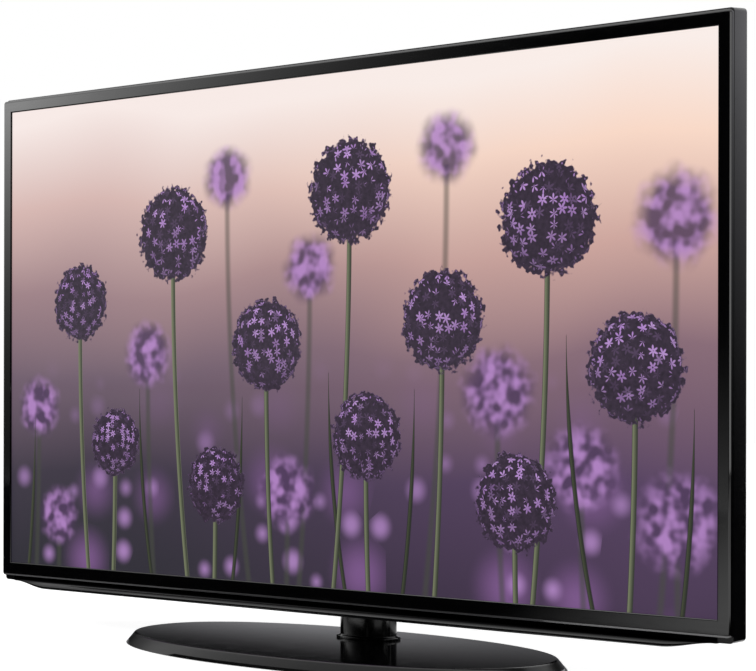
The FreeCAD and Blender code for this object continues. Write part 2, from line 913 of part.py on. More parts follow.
def stand_screw_places():
    low = stand_plate_bottom_z + stand_screw_inset
    high = stand_plate_top_z - stand_screw_inset
    return [(x, z) for x in (-stand_screw_half, stand_screw_half) for z in (low, high)]


def key_places():
    return [cabinet_bottom_z + key_first_lift + i * key_pitch for i in range(key_count)]


def side_ports():
    """The sockets in the side bay: height along z, half width along z, depth along y."""
    z = side_bay_bottom_z + hdmi_first_lift
    ports = []
    for i in range(hdmi_count):
        ports.append(("hdmi", z, hdmi_width / 2, hdmi_height))
        z += hdmi_pitch
    z += usb_gap - hdmi_pitch
    for i in range(usb_count):
        ports.append(("usb", z, usb_width / 2, usb_height))
        z += usb_pitch
    z += headphone_gap - usb_pitch
    ports.append(("headphone", z, headphone_nose_radius, 2 * headphone_nose_radius))
    return ports


def side_port_hole(port, x0, x1):
    kind, z, half, height = port
    c = port_clearance
    if kind == "headphone":
        return rod_x(headphone_nose_radius + c, board_back_y + headphone_body / 2, z, x0, x1)
    return box(x0, x1, board_back_y - c, board_back_y + height + c, z - half - c, z + half + c)


def rca_places():
    low = rear_bay_bottom_z + rca_first_lift
    places = [(rear_bay_left + rca_first_x + i * rca_pitch, low) for i in range(rca_columns)]
    high = low + rca_row_rise
    return places + [(rear_bay_left + rca_first_x + i * rca_pitch, high) for i in range(rca_top_row_count)]


def rear_port_holes(y0, y1):
    c = port_clearance
    z = rear_bay_bottom_z + rear_bay_height / 2
    antenna = rod_y(antenna_radius + c, rear_bay_left + antenna_x, z, y0, y1)
    x = rear_bay_left + lan_x
    half = lan_outer / 2 + c
    lan = box(x - half, x + half, y0, y1, z - half, z + half)
    x = rear_bay_left + optical_x
    half = optical_outer / 2 + c
    optical = box(x - half, x + half, y0, y1, z - half, z + half)
    jacks = [rod_y(rca_radius + c, x, z, y0, y1) for x, z in rca_places()]
    return [antenna, lan, optical] + jacks


def vent_slots():
    count = int(2 * vent_half_span / vent_pitch) + 1
    slots = []
    for i in range(count):
        x = -vent_half_span + i * vent_pitch
        near_post = min(abs(x - s * cover_screw_top_x) for s in (-1, 0, 1)) < vent_post_gap
        z = bulge_top_z + vent_top_lift
        slots.append(box(x - vent_slot_width / 2, x + vent_slot_width / 2, plateau_inner_y - vent_overcut,
                         plateau_y + vent_overcut, z - vent_slot_height / 2, z + vent_slot_height / 2))
        z = bulge_top_z - bulge_draft - vent_back_drop
        if near_post or abs(x) < vent_middle_gap:
            continue
        slots.append(box(x - vent_slot_width / 2, x + vent_slot_width / 2, bulge_y - cover_wall - overcut,
                         bulge_y + overcut, z - vent_slot_height / 2, z + vent_slot_height / 2))
    return slots


def grille_cuts():
    slots = []
    y = speaker_front_y + speaker_depth / 2 + grille_setback
    span = (grille_slots - 1) * grille_pitch
    for side in (-1, 1):
        centre = side * (speaker_inner_x + speaker_length / 2)
        for i in range(grille_slots):
            x = centre - span / 2 + i * grille_pitch
            slots.append(box(x - grille_slot_width / 2, x + grille_slot_width / 2, y,
                             y + grille_slot_length, cabinet_bottom_z + grille_lift,
                             speaker_bottom_z - grille_below_speaker))
    return slots


def rear_cover():
    outer = cover_outer()
    shell = outer.cut(cover_inner())
    for bounds, closed in cover_pockets():
        walls = grown(bounds, cover_wall, closed).common(outer)
        shell = shell.fuse(walls).cut(box(*bounds))
    web = box(cover_wall - body_half, body_half - cover_wall, cover_front_y, cover_front_y + cover_web,
              cabinet_bottom_z + cover_wall - web_lower_overlap, frame_bottom_z + web_rise)
    shell = shell.fuse(web)
    far = bulge_y + overcut
    cuts = [sensor_slot(sensor_window_clearance)]
    cuts += [rod_y(wall_post_radius + wall_post_clearance, x, z, plateau_y, far)
             for x, z in wall_mount_places()]
    cuts += [rod_y(cover_screw_radius + screw_clearance, x, z, 0, plateau_y + overcut)
             for x, z in cover_screw_places()]
    pocket_inner_y = stand_pocket_floor_y - cover_wall - overcut
    cuts += [rod_y(stand_screw_radius + stand_screw_clearance, x, z, pocket_inner_y,
                   stand_pocket_floor_y + overcut)
             for x, z in stand_screw_places()]
    cuts += [side_port_hole(port, side_bay_wall_x - overcut, side_bay_wall_x + cover_wall + thin_overlap)
             for port in side_ports()]
    cuts += rear_port_holes(rear_bay_floor_y - cover_wall - thin_overlap, rear_bay_floor_y + overcut)
    w = inlet_body_width / 2 + port_clearance
    h = inlet_body_height / 2 + port_clearance
    cuts.append(box(inlet_x - w, inlet_x + w, inlet_floor_y - cover_wall - overcut, inlet_floor_y + overcut,
                    inlet_z - h, inlet_z + h))
    c = key_clearance
    for z in key_places():
        cuts.append(rounded_block(key_x - key_width / 2 - c, key_x + key_width / 2 + c,
                                  z - key_height / 2 - c, z + key_height / 2 + c, key_radius + c,
                                  plateau_inner_y - overcut, plateau_y + overcut))
    shell = shell.cut(group(cuts)).cut(group(vent_slots())).cut(group(grille_cuts()))
    posts = []
    for z in key_post_places():
        post = rod_y(key_post_radius, key_x, z, key_board_back_y(), plateau_inner_y + overcut)
        bore = rod_y(board_screw_radius + screw_clearance, key_x, z, 0, plateau_inner_y - overcut)
        posts.append(post.cut(bore))
    return shell.fuse(posts).removeSplitter()


def key_board_back_y():
    rest = plateau_inner_y - key_rest_gap - key_flange_thickness
    return rest - key_travel - key_stop_gap - key_switch_height


def key_post_places():
    places = key_places()
    reach = key_board_end - key_post_inset
    return [places[0] - reach, places[-1] + reach]


def key(z):
    flange_top = plateau_inner_y - key_rest_gap
    w = key_width / 2
    h = key_height / 2
    f = key_flange
    flange = rounded_block(key_x - w - f, key_x + w + f, z - h - f, z + h + f, key_radius,
                           flange_top - key_flange_thickness, flange_top)
    top = plateau_y + key_stand_out
    cap = rounded_block(key_x - w, key_x + w, z - h, z + h, key_radius, flange_top, top)
    cap = cap.makeFillet(key_edge_radius, [e for e in cap.Edges if e.BoundBox.YMin > top - thin_overlap])
    return flange.fuse(cap).removeSplitter()


def key_board():
    y = key_board_back_y()
    places = key_places()
    board = box(key_x - key_board_width / 2, key_x + key_board_width / 2, y - board_thickness, y,
                places[0] - key_board_end, places[-1] + key_board_end)
    holes = [rod_y(board_screw_radius + screw_clearance, key_x, z, y - board_thickness - overcut,
                   y + overcut) for z in key_post_places()]
    return board.cut(group(holes))


def key_switches():
    y = key_board_back_y()
    half = key_switch_size / 2
    solids = []
    for z in key_places():
        shoulder = y + key_switch_height - key_plunger_height
        body = box(key_x - half, key_x + half, y, shoulder, z - half, z + half)
        plunger = rod_y(half * key_plunger_share, key_x, z, shoulder, y + key_switch_height)
        solids.append(body.fuse(plunger))
    return group(solids)


def key_board_screws():
    y = key_board_back_y() - board_thickness
    solids = []
    for z in key_post_places():
        head = rod_y(board_screw_head_radius, key_x, z, y - board_screw_head_height, y)
        shank = rod_y(board_screw_radius, key_x, z, y, plateau_inner_y - key_screw_end_gap)
        solids.append(head.fuse(shank).removeSplitter())
    return group(solids)


def lcd_panel():
    half = screen_half + cell_side
    return box(-half, half, glass_y, cell_back_y, screen_bottom_z - cell_bottom_drop,
               screen_top_z + cell_side)


def driver_film_places():
    step = source_board_length / (driver_film_count / 2)
    first = source_board_half_gap + step / 2
    right = [first + i * step for i in range(driver_film_count // 2)]
    return [-x for x in reversed(right)] + right


def middle_frame():
    w = mid_frame_wall
    front = glass_y - frame_glass_lead
    gap = mid_frame_window_gap
    wall = frame_ring((module_half, module_bottom_z, module_top_z),
                      (module_half - w, module_bottom_z + w, module_top_z - w),
                      front, front + mid_frame_depth)
    ledge = frame_ring((module_half, module_bottom_z, module_top_z),
                       (screen_half + gap, screen_bottom_z - gap, screen_top_z + gap),
                       ledge_y, ledge_y + mid_frame_ledge)
    notches = []
    half = driver_film_width / 2 + film_notch_gap
    for x in driver_film_places():
        notches.append(box(x - half, x + half, front - overcut, cell_back_y - film_notch_depth_gap,
                           module_bottom_z - overcut, module_bottom_z + w + overcut))
    return wall.fuse(ledge).cut(group(notches)).removeSplitter()


def optical_films():
    sheets = []
    half = screen_half + film_side
    for i in range(film_count):
        y = films_y + i * (film_thickness + film_gap)
        sheets.append(box(-half, half, y, y + film_thickness, screen_bottom_z - film_side,
                          screen_top_z + film_side))
    return group(sheets)


def diffuser_plate():
    side = film_side + diffuser_side
    half = screen_half + side
    return box(-half, half, diffuser_y, diffuser_y + diffuser_thickness, screen_bottom_z - side,
               screen_top_z + side)


def back_pan():
    s = pan_sheet
    outer = box(-pan_half, pan_half, pan_front_y, pan_back_y, pan_bottom_z, pan_top_z)
    inner = box(s - pan_half, pan_half - s, pan_front_y + s, pan_floor_y, pan_bottom_z + s, pan_top_z - s)
    f = pan_flange
    mouth = box(f - pan_half, pan_half - f, pan_front_y - overcut, pan_front_y + s + overcut,
                pan_bottom_z + f, pan_top_z - f)
    beads = []
    for drop in pan_bead_drops:
        z = pan_top_z - drop
        beads.append(box(-pan_bead_half, pan_bead_half, pan_back_y, pan_back_y + pan_bead_height,
                         z - pan_bead_width / 2, z + pan_bead_width / 2))
    return outer.cut(inner).cut(mouth).fuse(beads).removeSplitter()


def reflector_wire(y, inset):
    edge = pan_sheet + reflector_gap + inset
    x = pan_half - edge
    z0 = pan_bottom_z + edge
    z1 = pan_top_z - edge
    return Part.makePolygon([V(-x, y, z0), V(x, y, z0), V(x, y, z1), V(-x, y, z1), V(-x, y, z0)])


def led_places():
    low = pan_bottom_z + led_row_margin
    step = (pan_top_z - pan_bottom_z - 2 * led_row_margin) / (led_bar_count - 1)
    rows = [low + i * step for i in range(led_bar_count)]
    half = pan_half - led_bar_end_inset - led_end_margin
    pitch = 2 * half / (led_lens_count - 1)
    return rows, [-half + i * pitch for i in range(led_lens_count)]


def reflector_sheet():
    t = reflector_sheet_thickness
    front = pan_front_y + pan_sheet + reflector_front_gap
    back = pan_floor_y - led_bar_thickness - reflector_back_gap
    lean = t * reflector_lean
    outer = ruled([reflector_wire(front, 0), reflector_wire(back, reflector_slope)])
    inner = ruled([reflector_wire(front, lean), reflector_wire(back - t, reflector_slope + lean)])
    rows, columns = led_places()
    holes = [rod_y(led_lens_radius + led_hole_clearance, x, z, back - overcut, back + overcut)
             for z in rows for x in columns]
    return outer.cut(inner).cut(group(holes))


def led_bars():
    rows, columns = led_places()
    x = pan_half - led_bar_end_inset
    w = led_bar_width / 2
    return group([box(-x, x, pan_floor_y - led_bar_thickness, pan_floor_y, z - w, z + w) for z in rows])


def led_lenses():
    rows, columns = led_places()
    y = pan_floor_y - led_bar_thickness
    lenses = []
    for z in rows:
        for x in columns:
            lenses.append(Part.makeCone(led_lens_radius, led_lens_top_radius, led_lens_height,
                                        V(x, y, z), V(0, -1, 0)))
    return group(lenses)


def diffuser_supports():
    rows, columns = led_places()
    base = pan_floor_y - led_bar_thickness - reflector_back_gap - reflector_sheet_thickness
    tip = diffuser_y + diffuser_thickness + support_tip_gap
    cones = []
    for j in support_rows:
        z = (rows[j] + rows[j + 1]) / 2
        for i in support_columns:
            cones.append(Part.makeCone(support_base_radius, support_tip_radius, base - tip,
                                       V(columns[i] + support_offset, base, z), V(0, -1, 0)))
    return group(cones)


def source_boards():
    y = pan_back_y + source_board_gap
    z = pan_bottom_z + source_board_lift
    boards = []
    for side in (-1, 1):
        x0 = side * source_board_half_gap
        x1 = side * (source_board_half_gap + source_board_length)
        board = box(min(x0, x1), max(x0, x1), y, y + source_board_thickness, z, z + source_board_height)
        x = side * (source_board_half_gap + source_socket_inset)
        half = ribbon_width / 2 + source_socket_margin
        socket_y = y + source_board_thickness
        socket_top = z + source_board_height - source_socket_margin
        socket = box(x - half, x + half, socket_y, socket_y + source_socket_height,
                     socket_top - source_socket_depth, socket_top)
        boards.append(board.fuse(socket).removeSplitter())
    return group(boards)


def driver_films():
    """Thin films that lead from the glass round the module's lower edge to the source boards."""
    t = driver_film_thickness
    y0 = (glass_y + cell_back_y) / 2
    y1 = pan_back_y + source_board_gap + source_board_thickness + driver_film_gap
    top = screen_bottom_z - cell_bottom_drop - driver_film_gap
    low = module_bottom_z - driver_film_drop
    end = pan_bottom_z + source_board_lift + driver_film_landing
    films = []
    for x in driver_film_places():
        x0 = x - driver_film_width / 2
        x1 = x + driver_film_width / 2
        rise = box(x0, x1, y0 - t / 2, y0 + t / 2, low, top)
        run = box(x0, x1, y0 - t / 2, y1 + t, low, low + t)
        end_run = box(x0, x1, y1, y1 + t, low, end)
        films.append(rise.fuse([run, end_run]).removeSplitter())
    return group(films)


def module_brackets():
    s = bracket_sheet
    x0 = module_half + bracket_module_gap
    x1 = body_half - cover_wall - bracket_cover_gap
    y0 = cover_front_y + bracket_front_gap
    half = bracket_width / 2
    brackets = []
    for z in [cabinet_bottom_z + lift for lift in bracket_lifts] + [frame_top_z - bracket_top_drop]:
        for side in (-1, 1):
            web = box(x0, x0 + s, y0, rim_back_y - bracket_back_gap, z - half, z + half)
            leg = box(x0 + s, x1, y0, y0 + s, z - half, z + half)
            bracket = web.fuse(leg).removeSplitter()
            if side < 0:
                bracket = bracket.mirror(V(0, 0, 0), V(1, 0, 0))
            brackets.append(bracket)
    return group(brackets)


def board_corners(x0, width, z0, height):
    e = board_edge_inset
    return [(x, z) for x in (x0 + e, x0 + width - e) for z in (z0 + e, z0 + height - e)]


def board_outlines():
    main = (main_board_left, main_board_width, cabinet_bottom_z + main_board_lift, main_board_height)
    power = (power_board_left, power_board_width, cabinet_bottom_z + power_board_lift, power_board_height)
    control = (-control_board_half_width, 2 * control_board_half_width,
               cabinet_bottom_z + control_board_lift, control_board_height)
    return main, power, control


def board(outline):
    x0, width, z0, height = outline
    plate = box(x0, x0 + width, board_front_y, board_back_y, z0, z0 + height)
    holes = [rod_y(board_screw_radius + screw_clearance, x, z, board_front_y - overcut,
                   board_back_y + overcut) for x, z in board_corners(*outline)]
    return plate.cut(group(holes))


def board_standoffs():
    solids = []
    for outline in board_outlines():
        for x, z in board_corners(*outline):
            post = rod_y(standoff_radius, x, z, pan_back_y, board_front_y)
            solids.append(post.cut(rod_y(board_screw_radius + screw_clearance, x, z, pan_back_y - overcut,
                                         board_front_y + overcut)))
    return group(solids)


def board_screws():
    length = board_thickness + board_standoff_height - screw_end_gap
    solids = []
    for outline in board_outlines():
        for x, z in board_corners(*outline):
            solids.append(screw_y(board_screw_radius, board_screw_head_radius, board_screw_head_height,
                                  length, x, z, board_back_y))
    return group(solids)


def on_board(x, z, width, height, depth):
    return box(x - width / 2, x + width / 2, board_back_y, board_back_y + depth,
               z - height / 2, z + height / 2)


def parts_on_board(x, z, parts):
    """Blocks at their places, measured from the board's lower left corner."""
    return [on_board(x + at_x, z + at_z, *size) for at_x, at_z, *size in parts]


def main_chips():
    at_x, at_z, width, height, depth = memory_chip
    memory = [(at_x, at_z + i * memory_pitch, width, height, depth) for i in range(memory_count)]
    at_x, at_z, width, height, depth = main_coil
    coils = [(at_x, at_z + i * main_coil_pitch, width, height, depth) for i in range(main_coil_count)]
    z = cabinet_bottom_z + main_board_lift
    return group(parts_on_board(main_board_left, z, [main_processor, *main_chip_parts] + memory + coils))


def heat_sink(x, z, width, height, base_y, base, fin_height, fins, fin):
    """A finned block: fins stand towards the back and run upright."""
    solid = box(x - width / 2, x + width / 2, base_y, base_y + base, z - height / 2, z + height / 2)
    step = (width - fin) / (fins - 1)
    blades = []
    for i in range(fins):
        left = x - width / 2 + i * step
        blades.append(box(left, left + fin, base_y + base, base_y + base + fin_height,
                          z - height / 2, z + height / 2))
    return solid.fuse(blades).removeSplitter()


def main_heat_sink():
    at_x, at_z, width, height, depth = main_processor
    return heat_sink(main_board_left + at_x, cabinet_bottom_z + main_board_lift + at_z, main_sink_size,
                     main_sink_size, board_back_y + depth, main_sink_base, main_sink_height,
                     main_sink_fins, main_sink_fin)


def plug_headers():
    """The white sockets on the boards that the leads plug into."""
    height = header_height
    spots = [(header_power[0], header_power[1], 8, 14), (header_power[2], header_power[1], 8, 14),
             (header_keys[0], header_keys[1], 12, 8), (header_audio[0], header_audio[1], 10, 8),
             (header_audio[0], header_audio[1] + audio_header_pitch, 10, 8),
             (header_panel[0], header_panel[1], 6, 24),
             (header_panel[2], header_panel[1], 6, 24), (header_led[0], header_led[1], 10, 10),
             (header_inlet[0], header_inlet[1], 16, 8)]
    return group([on_board(x, z, w, h, height) for x, z, w, h in spots])


def capacitors(x, z, first, count, step):
    at_x, at_z, radius, height = first
    return [rod_y(radius, x + at_x + i * step, z + at_z, board_back_y, board_back_y + height)
            for i in range(count)]


def power_parts():
    """Capacitors, transformers and coils that stand on the power board."""
    z = cabinet_bottom_z + power_board_lift
    x = power_board_left
    parts = capacitors(x, z, large_capacitor, large_capacitor_count, -large_capacitor_pitch)
    parts += capacitors(x, z, small_capacitor, small_capacitor_count, small_capacitor_pitch)
    return group(parts + parts_on_board(x, z, power_block_parts))


def power_heat_sinks():
    return group(parts_on_board(power_board_left, cabinet_bottom_z + power_board_lift, power_sink_parts))


def hdmi_ports():
    return group([port_shell(z, half, height, hdmi_shell, hdmi_length)
                  for kind, z, half, height in side_ports() if kind == "hdmi"])


def usb_ports():
    return group([port_shell(z, half, height, usb_shell, hdmi_length)
                  for kind, z, half, height in side_ports() if kind == "usb"])


def port_shell(z, half, height, sheet, length):
    x0 = side_bay_wall_x - port_stand_out
    outer = box(x0, x0 + length, board_back_y, board_back_y + height, z - half, z + half)
    inner = box(x0 - overcut, x0 + length - port_end, board_back_y + sheet, board_back_y + height - sheet,
                z - half + sheet, z + half - sheet)
    return outer.cut(inner)


def port_tongues():
    x0 = side_bay_wall_x
    x1 = side_bay_wall_x - port_stand_out + hdmi_length - port_end
    solids = []
    for kind, z, half, height in side_ports():
        if kind == "headphone":
            continue
        thickness = hdmi_tongue if kind == "hdmi" else usb_tongue
        reach = half - (hdmi_tongue_margin if kind == "hdmi" else usb_tongue_margin)
        y = board_back_y + height / 2
        solids.append(box(x0 + tongue_setback, x1, y - thickness / 2, y + thickness / 2,
                          z - reach, z + reach))
    return group(solids)


def headphone_jack():
    kind, z, half, height = side_ports()[-1]
    y = board_back_y + headphone_body / 2
    x0 = side_bay_wall_x - port_stand_out
    x1 = side_bay_wall_x + cover_wall + bracket_gap + headphone_shoulder_gap
    body = box(x1, x0 + headphone_depth + headphone_end, board_back_y, board_back_y + headphone_body,
               z - headphone_body / 2, z + headphone_body / 2)
    nose = rod_x(headphone_nose_radius, y, z, x0, x1)
    bore = rod_x(headphone_bore_radius, y, z, x0 - overcut, x0 + headphone_depth)
    return body.fuse(nose).cut(bore).removeSplitter()


def jack_bracket():
    """The sheet steel plate that holds the side sockets on the main board."""
    x0 = side_bay_wall_x + cover_wall + bracket_gap
    x1 = x0 + jack_plate_sheet
    z0 = side_bay_bottom_z + jack_plate_margin
    z1 = side_bay_bottom_z + side_bay_height - jack_plate_margin
    plate = box(x0, x1, board_back_y, board_back_y + jack_plate_depth, z0, z1)
    foot = box(x0, main_board_left + jack_foot_reach, board_back_y, board_back_y + jack_foot_sheet,
               z0, z0 + jack_foot_reach)
    holes = [side_port_hole(port, x0 - overcut, x1 + overcut) for port in side_ports()]
    return plate.fuse(foot).removeSplitter().cut(group(holes))


def tuner():
    z = rear_bay_bottom_z + rear_bay_height / 2
    return on_board(rear_bay_left + antenna_x, z, tuner_width, tuner_height, tuner_depth)


def antenna_socket():
    x = rear_bay_left + antenna_x
    z = rear_bay_bottom_z + rear_bay_height / 2
    y0 = board_back_y + tuner_depth
    y1 = rear_bay_floor_y + antenna_reach
    barrel = rod_y(antenna_root_radius, x, z, y0, rear_bay_floor_y)
    barrel = barrel.fuse(rod_y(antenna_radius, x, z, rear_bay_floor_y, y1))
    return barrel.cut(rod_y(antenna_hole_radius, x, z, y1 - antenna_hole_depth, y1 + overcut))


def square_socket(x, outer, width, height, depth):
    z = rear_bay_bottom_z + rear_bay_height / 2
    y1 = rear_bay_floor_y + port_stand_out
    body = box(x - outer / 2, x + outer / 2, board_back_y, y1, z - outer / 2, z + outer / 2)
    return body.cut(box(x - width / 2, x + width / 2, y1 - depth, y1 + overcut,
                        z - height / 2, z + height / 2))


def lan_port():
    return square_socket(rear_bay_left + lan_x, lan_outer, lan_opening_width, lan_opening_height,
                         lan_depth)


def optical_port():
    return square_socket(rear_bay_left + optical_x, optical_outer, optical_opening, optical_opening,
                         optical_depth)


def rca_bases():
    top = rear_bay_floor_y - cover_wall - rca_base_gap
    return group([on_board(x, z, rca_base, rca_base, top - board_back_y) for x, z in rca_places()])


def rca_barrels():
    y0 = rear_bay_floor_y - cover_wall - rca_base_gap
    y1 = rear_bay_floor_y + rca_reach
    barrels = []
    for x, z in rca_places():
        bore = rod_y(rca_inner_radius, x, z, y0 + rca_floor, y1 + overcut)
        barrels.append(rod_y(rca_radius, x, z, y0, y1).cut(bore))
    return group(barrels)


def rca_inserts():
    y0 = rear_bay_floor_y - cover_wall - rca_base_gap + rca_floor
    y1 = rear_bay_floor_y + rca_reach
    inserts = []
    for x, z in rca_places():
        plug = rod_y(rca_inner_radius - rca_insert_gap, x, z, y0, y1 - rca_insert_setback)
        inserts.append(plug.cut(rod_y(rca_hole_radius, x, z, y0 + rca_floor, y1)))
    return group(inserts)


def power_inlet():
    y1 = inlet_floor_y + inlet_flange_thickness
    w = inlet_body_width / 2
    h = inlet_body_height / 2
    body = box(inlet_x - w, inlet_x + w, y1 - inlet_body_depth, y1, inlet_z - h, inlet_z + h)
    w = inlet_flange_width / 2
    h = inlet_flange_height / 2
    flange = rounded_block(inlet_x - w, inlet_x + w, inlet_z - h, inlet_z + h, inlet_flange_radius,
                           inlet_floor_y, y1)
    w = inlet_hole_width / 2
    h = inlet_hole_height / 2
    hole = rounded_block(inlet_x - w, inlet_x + w, inlet_z - h, inlet_z + h, h * inlet_hole_roundness,
                         y1 - inlet_hole_depth, y1 + overcut)
    return body.fuse(flange).cut(hole).removeSplitter()


def inlet_pins():
    y0 = inlet_floor_y + inlet_flange_thickness - inlet_hole_depth
    half = inlet_pin_spacing / 2
    return group([rod_y(inlet_pin_radius, inlet_x + s * half, inlet_z, y0, y0 + inlet_pin_length)
                  for s in (-1, 1)])


def speaker_centre(side):
    return side * (speaker_inner_x + speaker_length / 2), speaker_front_y + speaker_depth / 2


def speaker_lug_places(side):
    out = side * (speaker_inner_x + speaker_length + speaker_lug / 2)
    back = side * (speaker_inner_x - speaker_lug / 2)
    z = speaker_bottom_z + speaker_height / 2
    return [(out, z), (back, z)]


def speaker_box(side):
    x, y = speaker_centre(side)
    half = speaker_length / 2
    w = speaker_wall
    y0 = speaker_front_y
    y1 = speaker_front_y + speaker_depth
    z0 = speaker_bottom_z
    z1 = z0 + speaker_height
    shell = box(x - half, x + half, y0, y1, z0, z1)
    shell = shell.makeFillet(speaker_edge_radius, [e for e in shell.Edges if e.BoundBox.ZLength > half / 4])
    for lug_x, lug_z in speaker_lug_places(side):
        r = speaker_lug / 2
        lug = box(min(lug_x - r, lug_x + r), max(lug_x - r, lug_x + r), y0, y0 + speaker_lug_thickness,
                  lug_z - r, lug_z + r)
        toward = side if lug_x * side < x * side else -side
        tie_x = lug_x + toward * (r + speaker_lug_tie)
        tie = box(min(lug_x, tie_x), max(lug_x, tie_x), y0, y0 + speaker_lug_thickness,
                  lug_z - r, lug_z + r)
        shell = shell.fuse([lug, tie])
        shell = shell.cut(rod_y(board_screw_radius + screw_clearance, lug_x, lug_z, y0 - overcut,
                                y0 + speaker_lug_thickness + overcut))
    hollow = box(x - half + w, x + half - w, y0 + w, y1 - w, z0 + w, z1 - w)
    mouth = rod_z(speaker_hole_radius, x, y, z0 - overcut, z0 + w + overcut)
    return shell.cut(hollow).cut(mouth).removeSplitter()


def speaker_grommets():
    solids = []
    for side in (-1, 1):
        for x, z in speaker_lug_places(side):
            ring = rod_y(grommet_radius, x, z, pan_back_y, speaker_front_y)
            solids.append(ring.cut(rod_y(board_screw_radius + screw_clearance, x, z, pan_back_y - overcut,
                                         speaker_front_y + overcut)))
    return group(solids)


def speaker_screws():
    y = speaker_front_y + speaker_lug_thickness
    length = y - pan_back_y
    return group([screw_y(board_screw_radius, board_screw_head_radius, board_screw_head_height,
                          length, x, z, y)
                  for side in (-1, 1) for x, z in speaker_lug_places(side)])


def speaker_drivers():
    solids = []
    z0 = speaker_bottom_z
    t = speaker_frame_thickness
    r = speaker_hole_radius
    m = speaker_magnet_radius
    top = z0 + speaker_cone_height + speaker_magnet_gap
    rim = r - speaker_rim_width
    throat = m - speaker_throat_gap
    for side in (-1, 1):
        x, y = speaker_centre(side)
        frame = rod_z(speaker_frame_radius, x, y, z0 - t, z0)
        frame = frame.cut(rod_z(rim, x, y, z0 - t - overcut, z0 + overcut))
        outer = Part.makeCone(r - speaker_rim_gap, throat, top - z0, V(x, y, z0), V(0, 0, 1))
        inner = Part.makeCone(rim, throat - speaker_basket_sheet, top - z0, V(x, y, z0), V(0, 0, 1))
        magnet = rod_z(m, x, y, top, top + speaker_magnet_height)
        solids.append(frame.fuse([outer.cut(inner), magnet]).removeSplitter())
    return group(solids)


def speaker_cones():
    solids = []
    z0 = speaker_bottom_z
    r = speaker_hole_radius - speaker_cone_gap
    tip = speaker_cone_tip_radius
    s = speaker_cone_sheet
    top = z0 + speaker_cone_height
    for side in (-1, 1):
        x, y = speaker_centre(side)
        outer = Part.makeCone(r, tip, speaker_cone_height, V(x, y, z0), V(0, 0, 1))
        inner = Part.makeCone(r - s, tip - s, speaker_cone_height - s, V(x, y, z0), V(0, 0, 1))
        coil = rod_z(tip, x, y, top, top + speaker_coil_height)
        solids.append(outer.cut(inner).fuse(coil).removeSplitter())
    return group(solids)


def wall_posts():
    solids = []
    for x, z in wall_mount_places():
        post = rod_y(wall_post_radius, x, z, pan_back_y, bulge_y)
        solids.append(post.cut(rod_y(wall_hole_radius, x, z, bulge_y - wall_hole_depth, bulge_y + overcut)))
    return group(solids)


def cover_posts():
    solids = []
    for x, z in cover_screw_places():
        post = rod_y(cover_post_radius, x, z, pan_back_y, plateau_inner_y)
        solids.append(post.cut(rod_y(cover_screw_radius + screw_clearance, x, z, pan_back_y - overcut,
                                     plateau_inner_y + overcut)))
    return group(solids)


def cover_screws():
    return group([screw_y(cover_screw_radius, cover_screw_head_radius, cover_screw_head_height,
                          cover_screw_length, x, z, plateau_y) for x, z in cover_screw_places()])


def stand_mount():
    """The hat-shaped steel bracket behind the cover that the stand is screwed to."""
    s = stand_bracket_sheet
    y1 = stand_pocket_floor_y - cover_wall
    half = stand_plate_half + stand_mount_side
    z0 = stand_plate_bottom_z
    z1 = stand_plate_top_z
    plate = box(-half, half, y1 - s, y1, z0, z1)
    parts = []
    for side in (-1, 1):
        inner, outer = sorted((side * (half - s), side * half))
        leg = box(inner, outer, pan_back_y, y1, z0, z1)
        inner, outer = sorted((side * half, side * (half + mount_leg_spread)))
        foot = box(inner, outer, pan_back_y, pan_back_y + s, z0, z1)
        parts += [leg, foot]
    solid = plate.fuse(parts).removeSplitter()
    holes = [rod_y(stand_screw_radius + stand_thread_clearance, x, z, y1 - s - overcut, y1 + overcut)
             for x, z in stand_screw_places()]
    return solid.cut(group(holes))


def stand_bracket():
    """The steel upright inside the neck, with its plate against the back of the set."""
    s = stand_bracket_sheet
    z0 = base_top_z
    inner_x = neck_half_width - neck_wall
    inner_y = neck_half_depth - neck_wall
    floor = oval_block(inner_x - neck_fit, inner_y - neck_fit, neck_power, pivot_y, z0, z0 + s)
    back_y = pivot_y + stand_web_back
    front_y = pivot_y - stand_web_back
    top = neck_top_z - neck_wall - stand_web_top_gap
    parts = []
    for side in (-1, 1):
        x0 = min(side * (stand_web_half - s), side * stand_web_half)
        low = box(x0, x0 + s, front_y, back_y, z0 + s, top)
        high = box(x0, x0 + s, stand_pocket_floor_y + s, back_y, stand_plate_bottom_z, top)
        parts += [low, high]
    parts.append(box(s - stand_web_half, stand_web_half - s, back_y - s, back_y, z0 + s, top))
    parts.append(box(-stand_plate_half, stand_plate_half, stand_pocket_floor_y, stand_pocket_floor_y + s,
                     stand_plate_bottom_z, stand_plate_top_z))
    holes = [rod_y(stand_screw_radius + stand_screw_clearance, x, z, stand_pocket_floor_y - overcut,
                   stand_pocket_floor_y + s + overcut) for x, z in stand_screw_places()]
    holes += [rod_z(spindle_screw_radius + bracket_screw_play, x, y, z0 - overcut, z0 + s + overcut)
              for x, y in spindle_screw_places()]
    return floor.fuse(parts).removeSplitter().cut(group(holes))


def stand_screws():
    y = stand_pocket_floor_y + stand_bracket_sheet
    return group([screw_y(stand_screw_radius, stand_screw_head_radius, stand_screw_head_height,
                          stand_screw_length, x, z, y) for x, z in stand_screw_places()])


